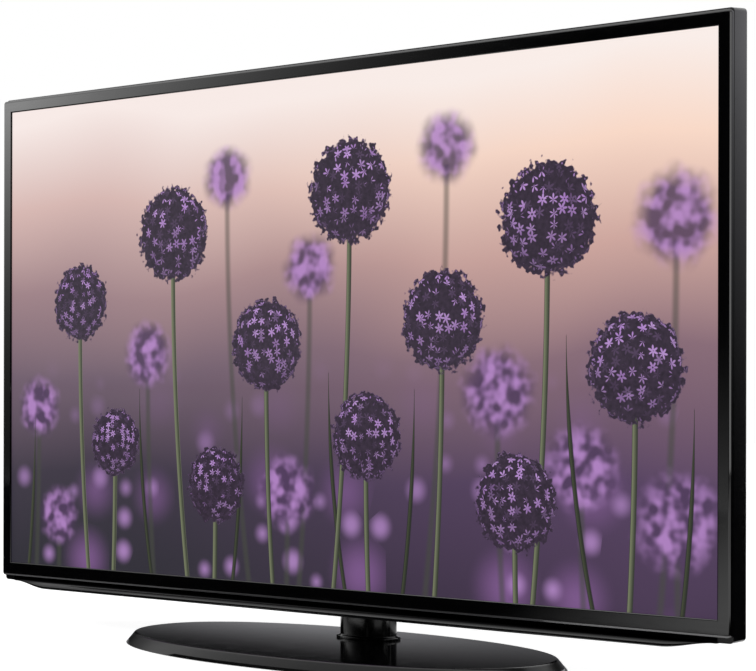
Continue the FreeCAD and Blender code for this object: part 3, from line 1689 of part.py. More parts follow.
def neck_column():
    """The glossy oval sleeve with its flared foot, open at the front where the webs pass."""
    outer = oval_block(neck_half_width, neck_half_depth, neck_power, pivot_y, neck_bottom_z, neck_top_z)
    wires = []
    for height, flare in collar_profile:
        grow = collar_step + collar_flare * flare
        wires.append(oval_wire(neck_half_width + grow, neck_half_depth + grow, neck_power, pivot_y,
                               neck_bottom_z + collar_height * height))
    inner = oval_block(neck_half_width - neck_wall, neck_half_depth - neck_wall, neck_power, pivot_y,
                       neck_bottom_z - overcut, neck_top_z - neck_wall)
    half = stand_web_half + neck_slot_gap
    slot = box(-half, half, pivot_y - neck_half_depth - neck_slot_front,
               pivot_y - stand_web_back + neck_slot_back, stand_plate_bottom_z - neck_slot_drop,
               neck_top_z - neck_wall)
    return outer.fuse(ruled(wires)).cut(inner).cut(slot)


def stack_levels():
    """Heights of the swivel's parts, from the nut up to the base's top."""
    plate_top = foot_height + plate_thickness
    hub_top = plate_top + hub_thickness
    washer_low = plate_top - washer_thickness
    spring_low = washer_low - spring_washer_thickness
    nut_low = spring_low - nut_thickness
    return nut_low, spring_low, washer_low, plate_top, hub_top, hub_top + washer_thickness


def spindle_screw_places():
    return [(x, pivot_y + y) for x in (-spindle_screw_x, spindle_screw_x)
            for y in (-spindle_screw_y, spindle_screw_y)]


def neck_spindle():
    levels = stack_levels()
    shaft = rod_z(spindle_radius, 0, pivot_y, levels[0] - spindle_end, levels[5])
    flange = rod_z(spindle_flange_radius, 0, pivot_y, levels[5], base_top_z)
    solid = shaft.fuse(flange).removeSplitter()
    holes = [rod_z(spindle_screw_radius + spindle_screw_play, x, y, levels[5] + spindle_screw_floor,
                   base_top_z + overcut) for x, y in spindle_screw_places()]
    return solid.cut(group(holes))


def spindle_screws():
    seat = base_top_z + stand_bracket_sheet
    end = stack_levels()[5] + spindle_screw_floor + spindle_screw_end_gap
    solids = []
    for x, y in spindle_screw_places():
        head = rod_z(spindle_screw_head_radius, x, y, seat, seat + spindle_screw_head_height)
        solids.append(head.fuse(rod_z(spindle_screw_radius, x, y, end, seat)).removeSplitter())
    return group(solids)


def spindle_nut():
    levels = stack_levels()
    r = nut_across_flats / math.sqrt(3)
    corners = [V(r * math.cos(math.pi * i / 3), pivot_y + r * math.sin(math.pi * i / 3), levels[0])
               for i in range(7)]
    body = Part.Face(Part.makePolygon(corners)).extrude(V(0, 0, nut_thickness))
    bore = rod_z(spindle_radius + spindle_clearance, 0, pivot_y, levels[0] - overcut, levels[1] + overcut)
    return body.cut(bore)


def washer(z0, z1, outer):
    ring = rod_z(outer, 0, pivot_y, z0, z1)
    return ring.cut(rod_z(spindle_radius + washer_clearance, 0, pivot_y, z0 - overcut, z1 + overcut))


def spring_washer():
    levels = stack_levels()
    return washer(levels[1], levels[2], washer_radius - spring_washer_inset)


def lower_washer():
    levels = stack_levels()
    return washer(levels[2], levels[3], washer_radius)


def upper_washer():
    levels = stack_levels()
    return washer(levels[4], levels[5], washer_radius)


def hub_screw_places():
    r = hub_screw_circle
    angles = [math.radians(45 + 90 * i) for i in range(4)]
    return [(r * math.cos(a), pivot_y + r * math.sin(a)) for a in angles]


def swivel_hub():
    levels = stack_levels()
    ring = rod_z(hub_radius, 0, pivot_y, levels[3], levels[4])
    low = levels[3] - overcut
    high = levels[4] + overcut
    holes = [rod_z(spindle_radius + spindle_clearance, 0, pivot_y, low, high)]
    holes += [rod_z(board_screw_radius + screw_clearance, x, y, low, high) for x, y in hub_screw_places()]
    return ring.cut(group(holes))


def hub_screws():
    levels = stack_levels()
    solids = []
    for x, y in hub_screw_places():
        head = rod_z(board_screw_head_radius, x, y, levels[4], levels[4] + board_screw_head_height)
        shank = rod_z(board_screw_radius, x, y, foot_height + hub_screw_end_gap, levels[4])
        solids.append(head.fuse(shank).removeSplitter())
    return group(solids)


def rim_wire(z, inset):
    share = (z - rim_lift) / rim_height
    shrink = rim_bevel * share + inset
    return oval_wire(base_half_length - shrink, base_half_depth - shrink, base_power, 0, z)


def base_screw_places():
    along = base_screw_length_share * base_half_length
    across = base_screw_depth_share * base_half_depth
    angles = [2 * math.pi * (i + 0.5) / base_screw_count for i in range(base_screw_count)]
    return [(along * math.cos(a), across * math.sin(a)) for a in angles]


def foot_places():
    along = foot_length_share * base_half_length
    across = foot_depth_share * base_half_depth
    angles = [2 * math.pi * i / foot_count for i in range(foot_count)]
    return [(along * math.cos(a), across * math.sin(a)) for a in angles]


def base_cover():
    outer = ruled([rim_wire(rim_lift, 0), rim_wire(base_top_z, 0)])
    ceiling = base_top_z - base_wall
    inset = base_wall * rim_wall_share
    inner = ruled([rim_wire(rim_lift - rim_underside, inset), rim_wire(ceiling, inset)])
    shell = outer.cut(inner)
    hole = rod_z(spindle_flange_radius + base_hole_clearance, 0, pivot_y, ceiling - overcut,
                 base_top_z + overcut)
    shell = shell.cut(hole)
    plate_top = foot_height + plate_thickness
    bosses = [rod_z(base_boss_radius, x, y, plate_top, ceiling + overcut) for x, y in base_screw_places()]
    bores = [rod_z(base_screw_radius + screw_clearance, x, y, plate_top - overcut, ceiling - overcut)
             for x, y in base_screw_places()]
    return shell.fuse(bosses).removeSplitter().cut(group(bores))


def base_plate():
    z0 = foot_height
    z1 = z0 + plate_thickness
    low = z0 - overcut
    high = z1 + overcut
    plate = oval_block(base_half_length - plate_margin, base_half_depth - plate_margin, base_power,
                       0, z0, z1)
    holes = [rod_z(plate_hole_radius, 0, pivot_y, low, high)]
    for x, y in base_screw_places():
        holes.append(rod_z(base_screw_radius + screw_clearance, x, y, low, high))
        holes.append(rod_z(base_screw_head_radius + base_screw_recess_gap, x, y, low,
                           z0 + base_screw_head_height))
    holes += [rod_z(board_screw_radius + screw_clearance, x, y, low, high) for x, y in hub_screw_places()]
    return plate.cut(group(holes))


def base_screws():
    z0 = foot_height
    floor = z0 + base_screw_head_height
    ceiling = base_top_z - base_wall
    solids = []
    for x, y in base_screw_places():
        head = rod_z(base_screw_head_radius, x, y, z0, floor)
        shank = rod_z(base_screw_radius, x, y, floor, ceiling - base_screw_end_gap)
        solids.append(head.fuse(shank).removeSplitter())
    return group(solids)


def rubber_feet():
    pads = []
    for x, y in foot_places():
        pad = rod_z(foot_radius, x, y, 0, foot_height)
        lower = [e for e in pad.Edges if e.BoundBox.ZMax < thin_overlap]
        pads.append(pad.makeFillet(foot_edge_radius, lower))
    return group(pads)


def lead(points, radius):
    """A round lead: straight runs joined by tangent arcs, as large as the runs allow."""
    p = [V(*point) for point in points]
    edges = []
    last = p[0]
    radii = []
    for i in range(1, len(p) - 1):
        before = (p[i - 1] - p[i]).normalize()
        after = (p[i + 1] - p[i]).normalize()
        turn = math.pi - before.getAngle(after)
        run = min((p[i - 1] - p[i]).Length, (p[i + 1] - p[i]).Length)
        bend = min(0.45 * run / math.tan(turn / 2), lead_bend)
        cut = bend * math.tan(turn / 2)
        start = p[i] + before * cut
        end = p[i] + after * cut
        inward = (before + after).normalize()
        middle = p[i] + inward * (bend / math.cos(turn / 2) - bend)
        edges.append(Part.LineSegment(last, start).toShape())
        edges.append(Part.Arc(start, middle, end).toShape())
        radii.append(round(bend, 1))
        last = end
    edges.append(Part.LineSegment(last, p[-1]).toShape())
    path = Part.Wire(edges)
    tangent = (p[1] - p[0]).normalize()
    circle = Part.Wire([Part.Circle(p[0], tangent, radius).toShape()])
    tube = path.makePipeShell([circle], True, True)
    section = math.pi * radius * radius
    print("lead radii", radii, "volume ratio %.4f" % (tube.Volume / (section * path.Length)))
    return tube


def board_leads():
    y = board_back_y + header_height
    x0, z, x1 = header_power
    top = y + power_lead_arch
    power = [(x0, y, z), (x0, top, z), (x1, top, z), (x1, y, z)]
    x, z = header_keys
    top = y + key_lead_arch
    side = key_x - key_lead_side
    end_y = key_board_back_y() - board_thickness / 2
    end_z = key_lead_z - key_lead_end_fall
    keys = [(x, y, z), (x, top, z), (x, top, key_lead_z), (side, top, key_lead_z),
            (side, top, key_lead_z - key_lead_fall), (key_x - key_lead_turn_side, end_y, end_z),
            (key_x - key_board_width / 2, end_y, end_z)]
    x, z = header_led
    top = y + led_lead_arch
    lights = [(x, y, z), (x, top, z), (x, top, z + led_lead_rise), (x, pan_back_y, z + led_lead_rise)]
    return group([lead(power, power_lead_radius), lead(keys, small_lead_radius),
                  lead(lights, led_lead_radius)])


def speaker_leads():
    x, z = header_audio
    y = board_back_y + header_height
    speaker_z = speaker_bottom_z + speaker_lead_lift
    top = y + left_speaker_lead_arch
    left = [(x, y, z), (x, top, z), (x, top, speaker_z), (-speaker_inner_x, top, speaker_z)]
    z += audio_header_pitch
    top = y + right_speaker_lead_arch
    right = [(x, y, z), (x, top, z), (x, top, speaker_lead_z), (speaker_lead_x, top, speaker_lead_z),
             (speaker_lead_x, top, speaker_z), (speaker_inner_x, top, speaker_z)]
    return group([lead(route, small_lead_radius) for route in (left, right)])


def inlet_leads():
    y = inlet_floor_y + inlet_flange_thickness - inlet_body_depth
    far = y - inlet_lead_reach
    end_z = header_inlet[1] - inlet_lead_end_drop
    leads = []
    for x in (inlet_x - inlet_lead_half, inlet_x + inlet_lead_half):
        leads.append(lead([(x, y, inlet_z), (x, far, inlet_z), (x, far, end_z)], inlet_lead_radius))
    return group(leads)


def panel_ribbons():
    """Flat cables: main board to control board, and control board to the source boards."""
    t = ribbon_thickness
    half = ribbon_width / 2
    x0, z, x1 = header_panel
    y = board_back_y + header_height
    left = x0 - ribbon_reach
    right = x1 + ribbon_reach
    top = y + ribbon_arch
    bridge = box(left, right, top, top + t, z - half, z + half)
    ends = [box(left, left + t, y, top, z - half, z + half),
            box(right - t, right, y, top, z - half, z + half)]
    ribbons = [bridge.fuse(ends).removeSplitter()]
    y = board_back_y + ribbon_gap
    arm_z = control_board_z + ribbon_lift
    landing = pan_bottom_z + source_board_lift + source_board_height - ribbon_landing
    socket_y = pan_back_y + source_board_gap + source_board_thickness + source_socket_height + ribbon_gap
    for side in (-1, 1):
        x = side * (source_board_half_gap + source_socket_inset)
        near = side * (control_board_half_width - ribbon_start_inset)
        far = x + side * half
        arm = box(min(near, far), max(near, far), y, y + t, arm_z, arm_z + ribbon_width)
        drop = box(x - half, x + half, y, y + t, landing - t, arm_z + ribbon_width)
        turn = box(x - half, x + half, socket_y, y, landing - t, landing)
        ribbons.append(arm.fuse([drop, turn]).removeSplitter())
    return group(ribbons)


def build():
    os.makedirs("parts", exist_ok=True)
    main, power, control = board_outlines()
    save("front_bezel", front_bezel())
    save("screen_gasket", screen_gasket())
    save("bottom_trim", bottom_trim())
    save("sensor_window", sensor_slot(0))
    save("small_boards", group([sensor_board(), key_board()]))
    save("rear_cover", rear_cover())
    save("chassis_posts", group([cover_posts(), board_standoffs()]))
    save("cover_screws", cover_screws())
    save("wall_mount_posts", wall_posts())
    save("lcd_panel", lcd_panel())
    save("middle_frame", middle_frame())
    save("optical_sheets", group([optical_films(), diffuser_plate()]))
    save("diffuser_supports", diffuser_supports())
    save("reflector_sheet", reflector_sheet())
    save("led_bars", group([led_bars(), led_lenses()]))
    save("back_pan", back_pan())
    save("module_brackets", module_brackets())
    save("display_boards", group([board(control), source_boards()]))
    save("ribbon_cables", group([driver_films(), panel_ribbons()]))
    save("main_board", board(main))
    save("power_board", board(power))
    save("board_screws", group([board_screws(), key_board_screws()]))
    save("board_components", group([main_chips(), power_parts()]))
    save("heat_sinks", group([main_heat_sink(), power_heat_sinks()]))
    save("plug_headers", plug_headers())
    save("wiring_leads", group([board_leads(), speaker_leads(), inlet_leads()]))
    save("jack_bracket", jack_bracket())
    save("side_port_shells", group([hdmi_ports(), usb_ports()]))
    save("side_port_tongues", port_tongues())
    save("headphone_jack", headphone_jack())
    save("tuner", group([tuner(), antenna_socket()]))
    save("lan_port", lan_port())
    save("optical_port", optical_port())
    save("av_jack_bodies", group([rca_bases(), rca_inserts()]))
    save("av_jack_barrels", rca_barrels())
    save("power_inlet", power_inlet())
    save("inlet_pins", inlet_pins())
    for name, side in (("speaker_box_left", -1), ("speaker_box_right", 1)):
        save(name, speaker_box(side))
    save("speaker_drivers", group([speaker_drivers(), speaker_cones()]))
    save("speaker_mounts", group([speaker_grommets(), speaker_screws()]))
    save("key_switches", key_switches())
    for name, z in zip(key_names, key_places()):
        save("key_" + name, key(z))
    save("stand_mount", stand_mount())
    save("stand_bracket", stand_bracket())
    save("stand_screws", group([stand_screws(), spindle_screws()]))
    save("neck_column", neck_column())
    save("neck_spindle", neck_spindle())
    save("spindle_nut", group([spindle_nut(), spring_washer()]))
    save("swivel_washers", group([lower_washer(), upper_washer()]))
    save("swivel_hub", swivel_hub())
    save("base_cover", base_cover())
    save("base_plate", base_plate())
    save("base_screws", group([base_screws(), hub_screws()]))
    save("rubber_feet", rubber_feet())


build()
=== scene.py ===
import json
import math

import bmesh
import bpy
from mathutils import Matrix, Vector


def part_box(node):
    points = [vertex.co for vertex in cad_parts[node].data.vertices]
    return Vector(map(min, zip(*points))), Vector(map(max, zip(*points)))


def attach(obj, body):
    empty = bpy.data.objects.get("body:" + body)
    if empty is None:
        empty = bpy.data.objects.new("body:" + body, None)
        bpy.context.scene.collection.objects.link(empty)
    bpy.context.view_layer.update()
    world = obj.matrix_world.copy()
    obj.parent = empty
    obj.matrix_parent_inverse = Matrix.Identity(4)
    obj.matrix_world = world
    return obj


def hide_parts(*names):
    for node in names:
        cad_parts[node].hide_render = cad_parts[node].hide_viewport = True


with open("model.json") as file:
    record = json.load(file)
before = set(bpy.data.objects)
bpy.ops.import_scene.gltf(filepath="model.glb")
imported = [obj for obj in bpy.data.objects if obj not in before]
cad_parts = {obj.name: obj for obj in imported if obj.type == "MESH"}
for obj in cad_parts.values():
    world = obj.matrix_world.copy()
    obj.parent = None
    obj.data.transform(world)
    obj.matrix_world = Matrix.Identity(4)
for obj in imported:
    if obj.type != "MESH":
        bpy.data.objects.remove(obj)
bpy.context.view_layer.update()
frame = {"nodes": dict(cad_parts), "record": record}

# A flat screen television on an oval swivel stand. Metres, +X right as seen from the front,
# +Y back, +Z up, origin on the floor under the centre of the stand's base.

MM = 0.001
nodes = frame["nodes"]

# The photograph's view, solved from the frame's corners and the base's outline
CAMERA_PLACE = (1.59344, -1.90988, 0.32553)
CAMERA_YAW = 0.6746967
CAMERA_PITCH = -0.00115
CAMERA_ROLL = 0.0021047
PHOTO_WIDTH = 756
PHOTO_HEIGHT = 671
FOCAL_PIXELS = 2038.18
HORIZON_ROW = 385.58
SENSOR_WIDTH = 36.0

# The studio: the surround's light on surfaces, the floor's own white as seen, half the floor's
# side, and the cool tint of the cards beside and behind the set
SURROUND_LIGHT = 0.35
FLOOR_GLOW = 0.7
FLOOR_HALF = 9.0
COOL = (0.955, 0.95, 1.0)

# Colours of the glossy pieces: the polish, the dust on it, and a painted highlight, a paler colour
# along the frame's lower edge that stands for the light line that edge catches; and how much paler
# a worn ridge of grained plastic is
POLISH = (0.0012, 0.0012, 0.0014)
DUST = (0.22, 0.22, 0.23)
DUST_COVER = 0.02
RIDGE_WEAR = 0.12
PAINTED_EDGE_HIGHLIGHT = (0.07, 0.07, 0.073)

# Levels and outlines read from the frame
bezel_low, bezel_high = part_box("front_bezel")
cover_low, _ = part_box("rear_cover")
trim_low, trim_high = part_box("bottom_trim")
panel_low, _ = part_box("lcd_panel")
base_low, base_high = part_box("base_cover")
neck_low, neck_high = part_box("neck_column")

# Sizes that the frame's boxes don't give. A brace is a narrow strip beside a rounded edge, which
# keeps the flat face next to it flat when it is shaded.
SCREEN_WIDTH = 1095.84 * MM
SCREEN_HEIGHT = 616.41 * MM
BOTTOM_BORDER = 18.2 * MM
FRAME_EDGE = 2.2 * MM
FRAME_EDGE_DEPTH = 1.2 * MM
FRAME_CORNER = 4.0 * MM
FRAME_CORNER_FALL = 1.3
FRAME_FACE_CORNER = 1.0 * MM
WINDOW_BEVEL = 1.0 * MM
WINDOW_CORNER = 0.2 * MM
FRAME_WALL = 2.0 * MM
EDGE_ROUND = 0.35 * MM
FRAME_SEAM = 0.9 * MM
BRACE = 0.2 * MM
TRIM_FULL_HALF = 478.0 * MM
TRIM_STATIONS = 36
TRIM_LEAST_DROP = 0.02
TRIM_WEB = 0.9 * MM
TRIM_LIP_REACH = 4.8 * MM
TRIM_END_REACH = 0.15 * MM
TRIM_RECESS = 4.2 * MM
# How the painted shade in the gap under the frame fades in and out
TRIM_PAINTED_SHADE_FADE = (5.2 * MM, 2.2 * MM)
TRIM_CREST_SHARE = 0.16
TRIM_UNDER_REACH = (0.2 * MM, 1.6 * MM)
TRIM_ROLL = 0.22
TRIM_BACK_ROUND = 4.0 * MM
TRIM_BACK_BEND = 0.3
TRIM_END_THICKNESS = 0.35 * MM
TRIM_SHELF_GAP = 0.2 * MM
COVER_RIM_BACK = -5.0 * MM
COVER_RIM_BLEND = 0.4 * MM
COVER_CROWN = 1.9 * MM
COVER_CROWN_RISE = 1.2 * MM
COVER_EDGE = 0.3 * MM
COVER_EDGE_ANGLE = 35
BASE_POWER = 2.2
RIM_BEVEL = 11.5 * MM
BASE_EDGE_ROUND = 2.3 * MM
BASE_FOOT_EDGE = 0.3 * MM
BASE_FOOT_STEP = (0.15 * MM, 0.49 * MM)
BASE_WALL = 2.5 * MM
BASE_WALL_ALONG = 1.36 * BASE_WALL
BASE_RINGS = (20.0 * MM, 40.0 * MM, 60.0 * MM)
SPINDLE_HOLE = 24.0 * MM
PIVOT_Y = 64.0 * MM
NECK_HALF_WIDTH = 40.0 * MM
NECK_HALF_DEPTH = 22.0 * MM
NECK_POWER = 2.3
NECK_TOP_ROUND = 1.2 * MM
COLLAR_HEIGHT = 4.6 * MM
COLLAR_WALL = 2.6 * MM
COLLAR_EDGE = (0.25 * MM, 0.3 * MM)
COLLAR_POWER = 2.2
COLLAR_STEPS = 8

screen_low_z = bezel_low.z + BOTTOM_BORDER
screen_high_z = screen_low_z + SCREEN_HEIGHT
screen_half = SCREEN_WIDTH / 2


class Shader:
    """A material's node tree, with short calls that add a node and join its inputs."""

    def __init__(self, name):
        self.material = bpy.data.materials.new(name)
        self.material.use_nodes = True
        self.tree = self.material.node_tree
        self.bsdf = self.tree.nodes["Principled BSDF"]

    def add(self, kind, inputs=(), **settings):
        node = self.tree.nodes.new(kind)
        for key, value in settings.items():
            setattr(node, key, value)
        for place, value in dict(inputs).items():
            self.feed(node.inputs[place], value)
        return node

    def feed(self, socket, value):
        if isinstance(value, bpy.types.NodeSocket):
            self.tree.links.new(value, socket)
        else:
            socket.default_value = value

    def maths(self, operation, a, b=0.0, c=0.0):
        return self.add("ShaderNodeMath", {0: a, 1: b, 2: c}, operation=operation).outputs[0]

    def times(self, *values):
        """The product of the values."""
        product = values[0]
        for value in values[1:]:
            product = self.maths("MULTIPLY", product, value)
        return product

    def split(self, vector):
        """The three parts of a vector or colour."""
        return self.add("ShaderNodeSeparateXYZ", {0: vector}).outputs

    def mix(self, share, a, b):
        """Colour a where the share is 0, and colour b where it is 1."""
        return self.add("ShaderNodeMix", {0: share, 6: a, 7: b}, data_type="RGBA").outputs[2]

    def step(self, value, low, high, to_low=0.0, to_high=1.0):
        """A smooth rise from to_low to to_high while value goes from low to high."""
        node = self.add("ShaderNodeMapRange", {0: value, 1: low, 2: high, 3: to_low, 4: to_high},
                        interpolation_type="SMOOTHSTEP")
        return node.outputs[0]

    def place(self):
        """The place in the frame's own metres: every piece's origin is the frame's."""
        return self.add("ShaderNodeTexCoord").outputs["Object"]

    def along(self, axis):
        """The place along x, y or z, in metres."""
        return self.split(self.place())[axis]

    def fed(self, name):
        """What an input of the surface's shader gets so far."""
        return self.bsdf.inputs[name].links[0].from_socket

    def noise(self, scale, detail=2.0, roughness=0.5, vector=None):
        inputs = {"Vector": vector or self.place(), "Scale": scale, "Detail": detail,
                  "Roughness": roughness}
        return self.add("ShaderNodeTexNoise", inputs).outputs[0]

    def stretch(self, x, y, z):
        """The place, scaled along each axis."""
        inputs = {0: self.place(), 1: (x, y, z)}
        return self.add("ShaderNodeVectorMath", inputs, operation="MULTIPLY").outputs[0]

    def bump(self, height, strength, distance):
        inputs = {"Height": height, "Strength": strength, "Distance": distance}
        return self.add("ShaderNodeBump", inputs).outputs[0]

    def set(self, **values):
        """Values or outputs for the surface's shader; an underscore stands for a space."""
        for key, value in values.items():
            self.feed(self.bsdf.inputs[key.replace("_", " ")], value)


def gloss_shader(name, colour=POLISH, rough=0.06, smear=0.05):
    """Polished black plastic: faint waviness, a few fine wipe marks and a little dust."""
    s = Shader(name)
    broad = s.noise(9.0, 3.0)
    dust = s.step(s.noise(900.0, 1.0), 0.66, 0.78)
    wipe = s.noise(38.0, 4.0, 0.65, s.stretch(1.0, 1.0, 7.0))
    tint = s.mix(s.step(broad, 0.3, 0.7), (*colour, 1), (*[c * 1.5 for c in colour], 1))
    s.set(Base_Color=s.mix(s.times(dust, DUST_COVER), tint, (*DUST, 1)))
    s.set(Roughness=s.maths("ADD", s.times(s.step(wipe, 0.45, 0.8), smear), rough))
    s.set(Specular_IOR_Level=0.5)
    s.set(Normal=s.bump(s.noise(60.0, 2.0), 0.05, 0.1 * MM))
    return s


def bezel_finish(name):
    """Polished black plastic with a paler band painted along the frame's lower edge: a painted
    highlight for the light line that edge catches.
    """
    s = gloss_shader(name)
    edge = bezel_low.z + FRAME_EDGE
    # Painted highlight: a paler colour along the frame's lower edge stands for the light that edge
    # catches
    painted_highlight = s.step(s.along(2), edge + 0.1 * MM, edge - 0.3 * MM)
    s.set(Base_Color=s.mix(painted_highlight, s.fed("Base Color"), (*PAINTED_EDGE_HIGHLIGHT, 1)))
    return s.material


def trim_finish(name):
    """Polished black plastic, made black metal that hardly reflects in the gap under the frame:
    painted shade for that recess.
    """
    s = gloss_shader(name, rough=0.1, smear=0.06)
    gap = trim_high.z - TRIM_RECESS
    low, high = TRIM_PAINTED_SHADE_FADE
    # Painted shade: metallic with a black colour darkens the gap under the frame, where shade falls
    s.set(Metallic=s.step(s.along(2), gap - low, gap - high))
    return s.material


def base_finish(name):
    """Polished black plastic with a softer sheen on the bevelled rim."""
    s = gloss_shader(name, rough=0.09, smear=0.05)
    soft = s.step(s.along(2), base_high.z - 0.2 * MM, base_high.z - 1.2 * MM, 0.0, 0.2)
    s.set(Roughness=s.maths("ADD", s.fed("Roughness"), soft))
    return s.material


def grained_plastic(name, colour, rough=0.5, grain=1500.0, depth=0.05, tone=0.2):
    """Moulded plastic with a spark-eroded grain, a little paler on its worn ridges."""
    s = Shader(name)
    fine = s.noise(grain, 3.0, 0.6)
    pits = s.add("ShaderNodeTexVoronoi", {"Vector": s.place(), "Scale": grain * 0.6}).outputs[0]
    height = s.maths("ADD", s.times(fine, 0.6), s.times(pits, 0.4))
    patch = s.step(s.noise(14.0, 4.0), 0.3, 0.75)
    low = tuple(c * (1 - tone) for c in colour)
    high = tuple(min(1.0, c * (1 + tone)) for c in colour)
    worn = s.step(s.add("ShaderNodeNewGeometry").outputs["Pointiness"], 0.5, 0.58)
    ridge = tuple(min(1.0, c * 3) for c in high)
    tinted = s.mix(patch, (*low, 1), (*high, 1))
    s.set(Base_Color=s.mix(s.times(worn, RIDGE_WEAR), tinted, (*ridge, 1)))
    s.set(Roughness=s.maths("ADD", s.times(height, 0.16), rough - 0.08))
    s.set(Normal=s.bump(height, 0.35, depth * MM))
    return s.material


def cover_finish(name):
    """Black plastic, polished on the rim that shows from the front and grained behind it."""
    s = Shader(name)
    matt = s.step(s.along(1), COVER_RIM_BACK - COVER_RIM_BLEND, COVER_RIM_BACK + COVER_RIM_BLEND)
    fine = s.noise(1300.0, 3.0, 0.6)
    pits = s.add("ShaderNodeTexVoronoi", {"Vector": s.place(), "Scale": 800.0}).outputs[0]
    height = s.maths("MULTIPLY_ADD", fine, 0.6, s.times(pits, 0.4))
    patch = s.step(s.noise(14.0, 4.0), 0.3, 0.75)
    polished = s.mix(patch, (0.0013, 0.0013, 0.0016, 1), (0.002, 0.002, 0.0024, 1))
    grained = s.mix(patch, (0.009, 0.009, 0.0095, 1), (0.0135, 0.0135, 0.0145, 1))
    worn = s.step(s.add("ShaderNodeNewGeometry").outputs["Pointiness"], 0.5, 0.58)
    ridged = s.mix(s.times(worn, RIDGE_WEAR), grained, (0.04, 0.04, 0.042, 1))
    s.set(Base_Color=s.mix(matt, polished, ridged))
    s.set(Roughness=s.step(matt, 0.0, 1.0, 0.18, 0.44))
    s.set(Normal=s.bump(height, s.maths("MULTIPLY_ADD", matt, 0.33, 0.02), 0.06 * MM))
    return s.material


def sheet_metal(name, colour, rough=0.35, streak=(1.0, 1.0, 40.0), metallic=1.0, spangle=0.0):
    """Plated or painted sheet: rolled streaks, with optional crystal flowers of zinc."""
    s = Shader(name)
    lines = s.noise(30.0, 5.0, 0.6, s.stretch(*streak))
    crystals = s.add("ShaderNodeTexVoronoi", {"Vector": s.place(), "Scale": 70.0}).outputs["Color"]
    grey = s.add("ShaderNodeRGBToBW", {0: crystals}).outputs[0]
    shade = s.maths("ADD", s.times(lines, 0.35), s.times(grey, spangle))
    dull = tuple(c * 0.75 for c in colour)
    bright = tuple(min(1.0, c * 1.2) for c in colour)
    s.set(Base_Color=s.mix(shade, (*dull, 1), (*bright, 1)))
    s.set(Metallic=metallic)
    s.set(Roughness=s.maths("ADD", s.times(shade, 0.25), rough - 0.08))
    s.set(Normal=s.bump(lines, 0.2, 0.03 * MM))
    return s.material


def circuit_board(name, colour, track):
    """A solder-masked board: copper tracks show through as paler raised lines, with tinned pads."""
    s = Shader(name)
    place = s.place()
    grid = s.add("ShaderNodeTexVoronoi", {"Vector": place, "Scale": 240.0}, distance="MANHATTAN")
    tracks = s.step(grid.outputs[0], 0.34, 0.4)
    dots = s.add("ShaderNodeTexVoronoi", {"Vector": place, "Scale": 150.0}).outputs[0]
    pads = s.step(dots, 0.16, 0.12)
    body = s.mix(s.noise(40.0, 3.0), (*colour, 1), (*[c * 1.3 for c in colour], 1))
    lined = s.mix(s.times(tracks, 0.5), body, (*track, 1))
    s.set(Base_Color=s.mix(pads, lined, (0.62, 0.6, 0.55, 1)))
    s.set(Roughness=s.maths("ADD", s.times(pads, 0.1), 0.3))
    s.set(Normal=s.bump(s.maths("ADD", tracks, pads), 0.3, 0.04 * MM))
    return s.material


def soft_rubber(name, colour=(0.018, 0.018, 0.018), rough=0.75):
    """Rubber with a fine matt skin and a dusty bloom."""
    s = Shader(name)
    bloom = s.step(s.noise(120.0, 5.0, 0.7), 0.4, 0.8)
    s.set(Base_Color=s.mix(s.times(bloom, 0.25), (*colour, 1), (0.09, 0.09, 0.09, 1)))
    s.set(Roughness=s.maths("ADD", s.times(bloom, 0.12), rough))
    s.set(Normal=s.bump(s.noise(1800.0, 2.0), 0.3, 0.03 * MM))
    return s.material


def white_film(name, colour=(0.86, 0.87, 0.87), rough=0.4):
    """A white or milky sheet with a soft mottle."""
    s = Shader(name)
    mottle = s.noise(220.0, 4.0, 0.6)
    s.set(Base_Color=s.mix(mottle, (*[c * 0.93 for c in colour], 1), (*colour, 1)))
    s.set(Roughness=s.maths("ADD", s.times(mottle, 0.15), rough))
    s.set(Normal=s.bump(mottle, 0.15, 0.02 * MM))
    return s.material


def amber_film(name):
    """Flexible film with rows of fine copper lines under the amber."""
    s = Shader(name)
    lines = s.add("ShaderNodeTexWave", {"Vector": s.place(), "Scale": 420.0}, bands_direction="X")
    s.set(Base_Color=s.mix(lines.outputs[1], (0.3, 0.1, 0.02, 1), (0.62, 0.3, 0.08, 1)))
    s.set(Roughness=s.maths("ADD", s.times(s.noise(90.0), 0.2), 0.2))
    return s.material


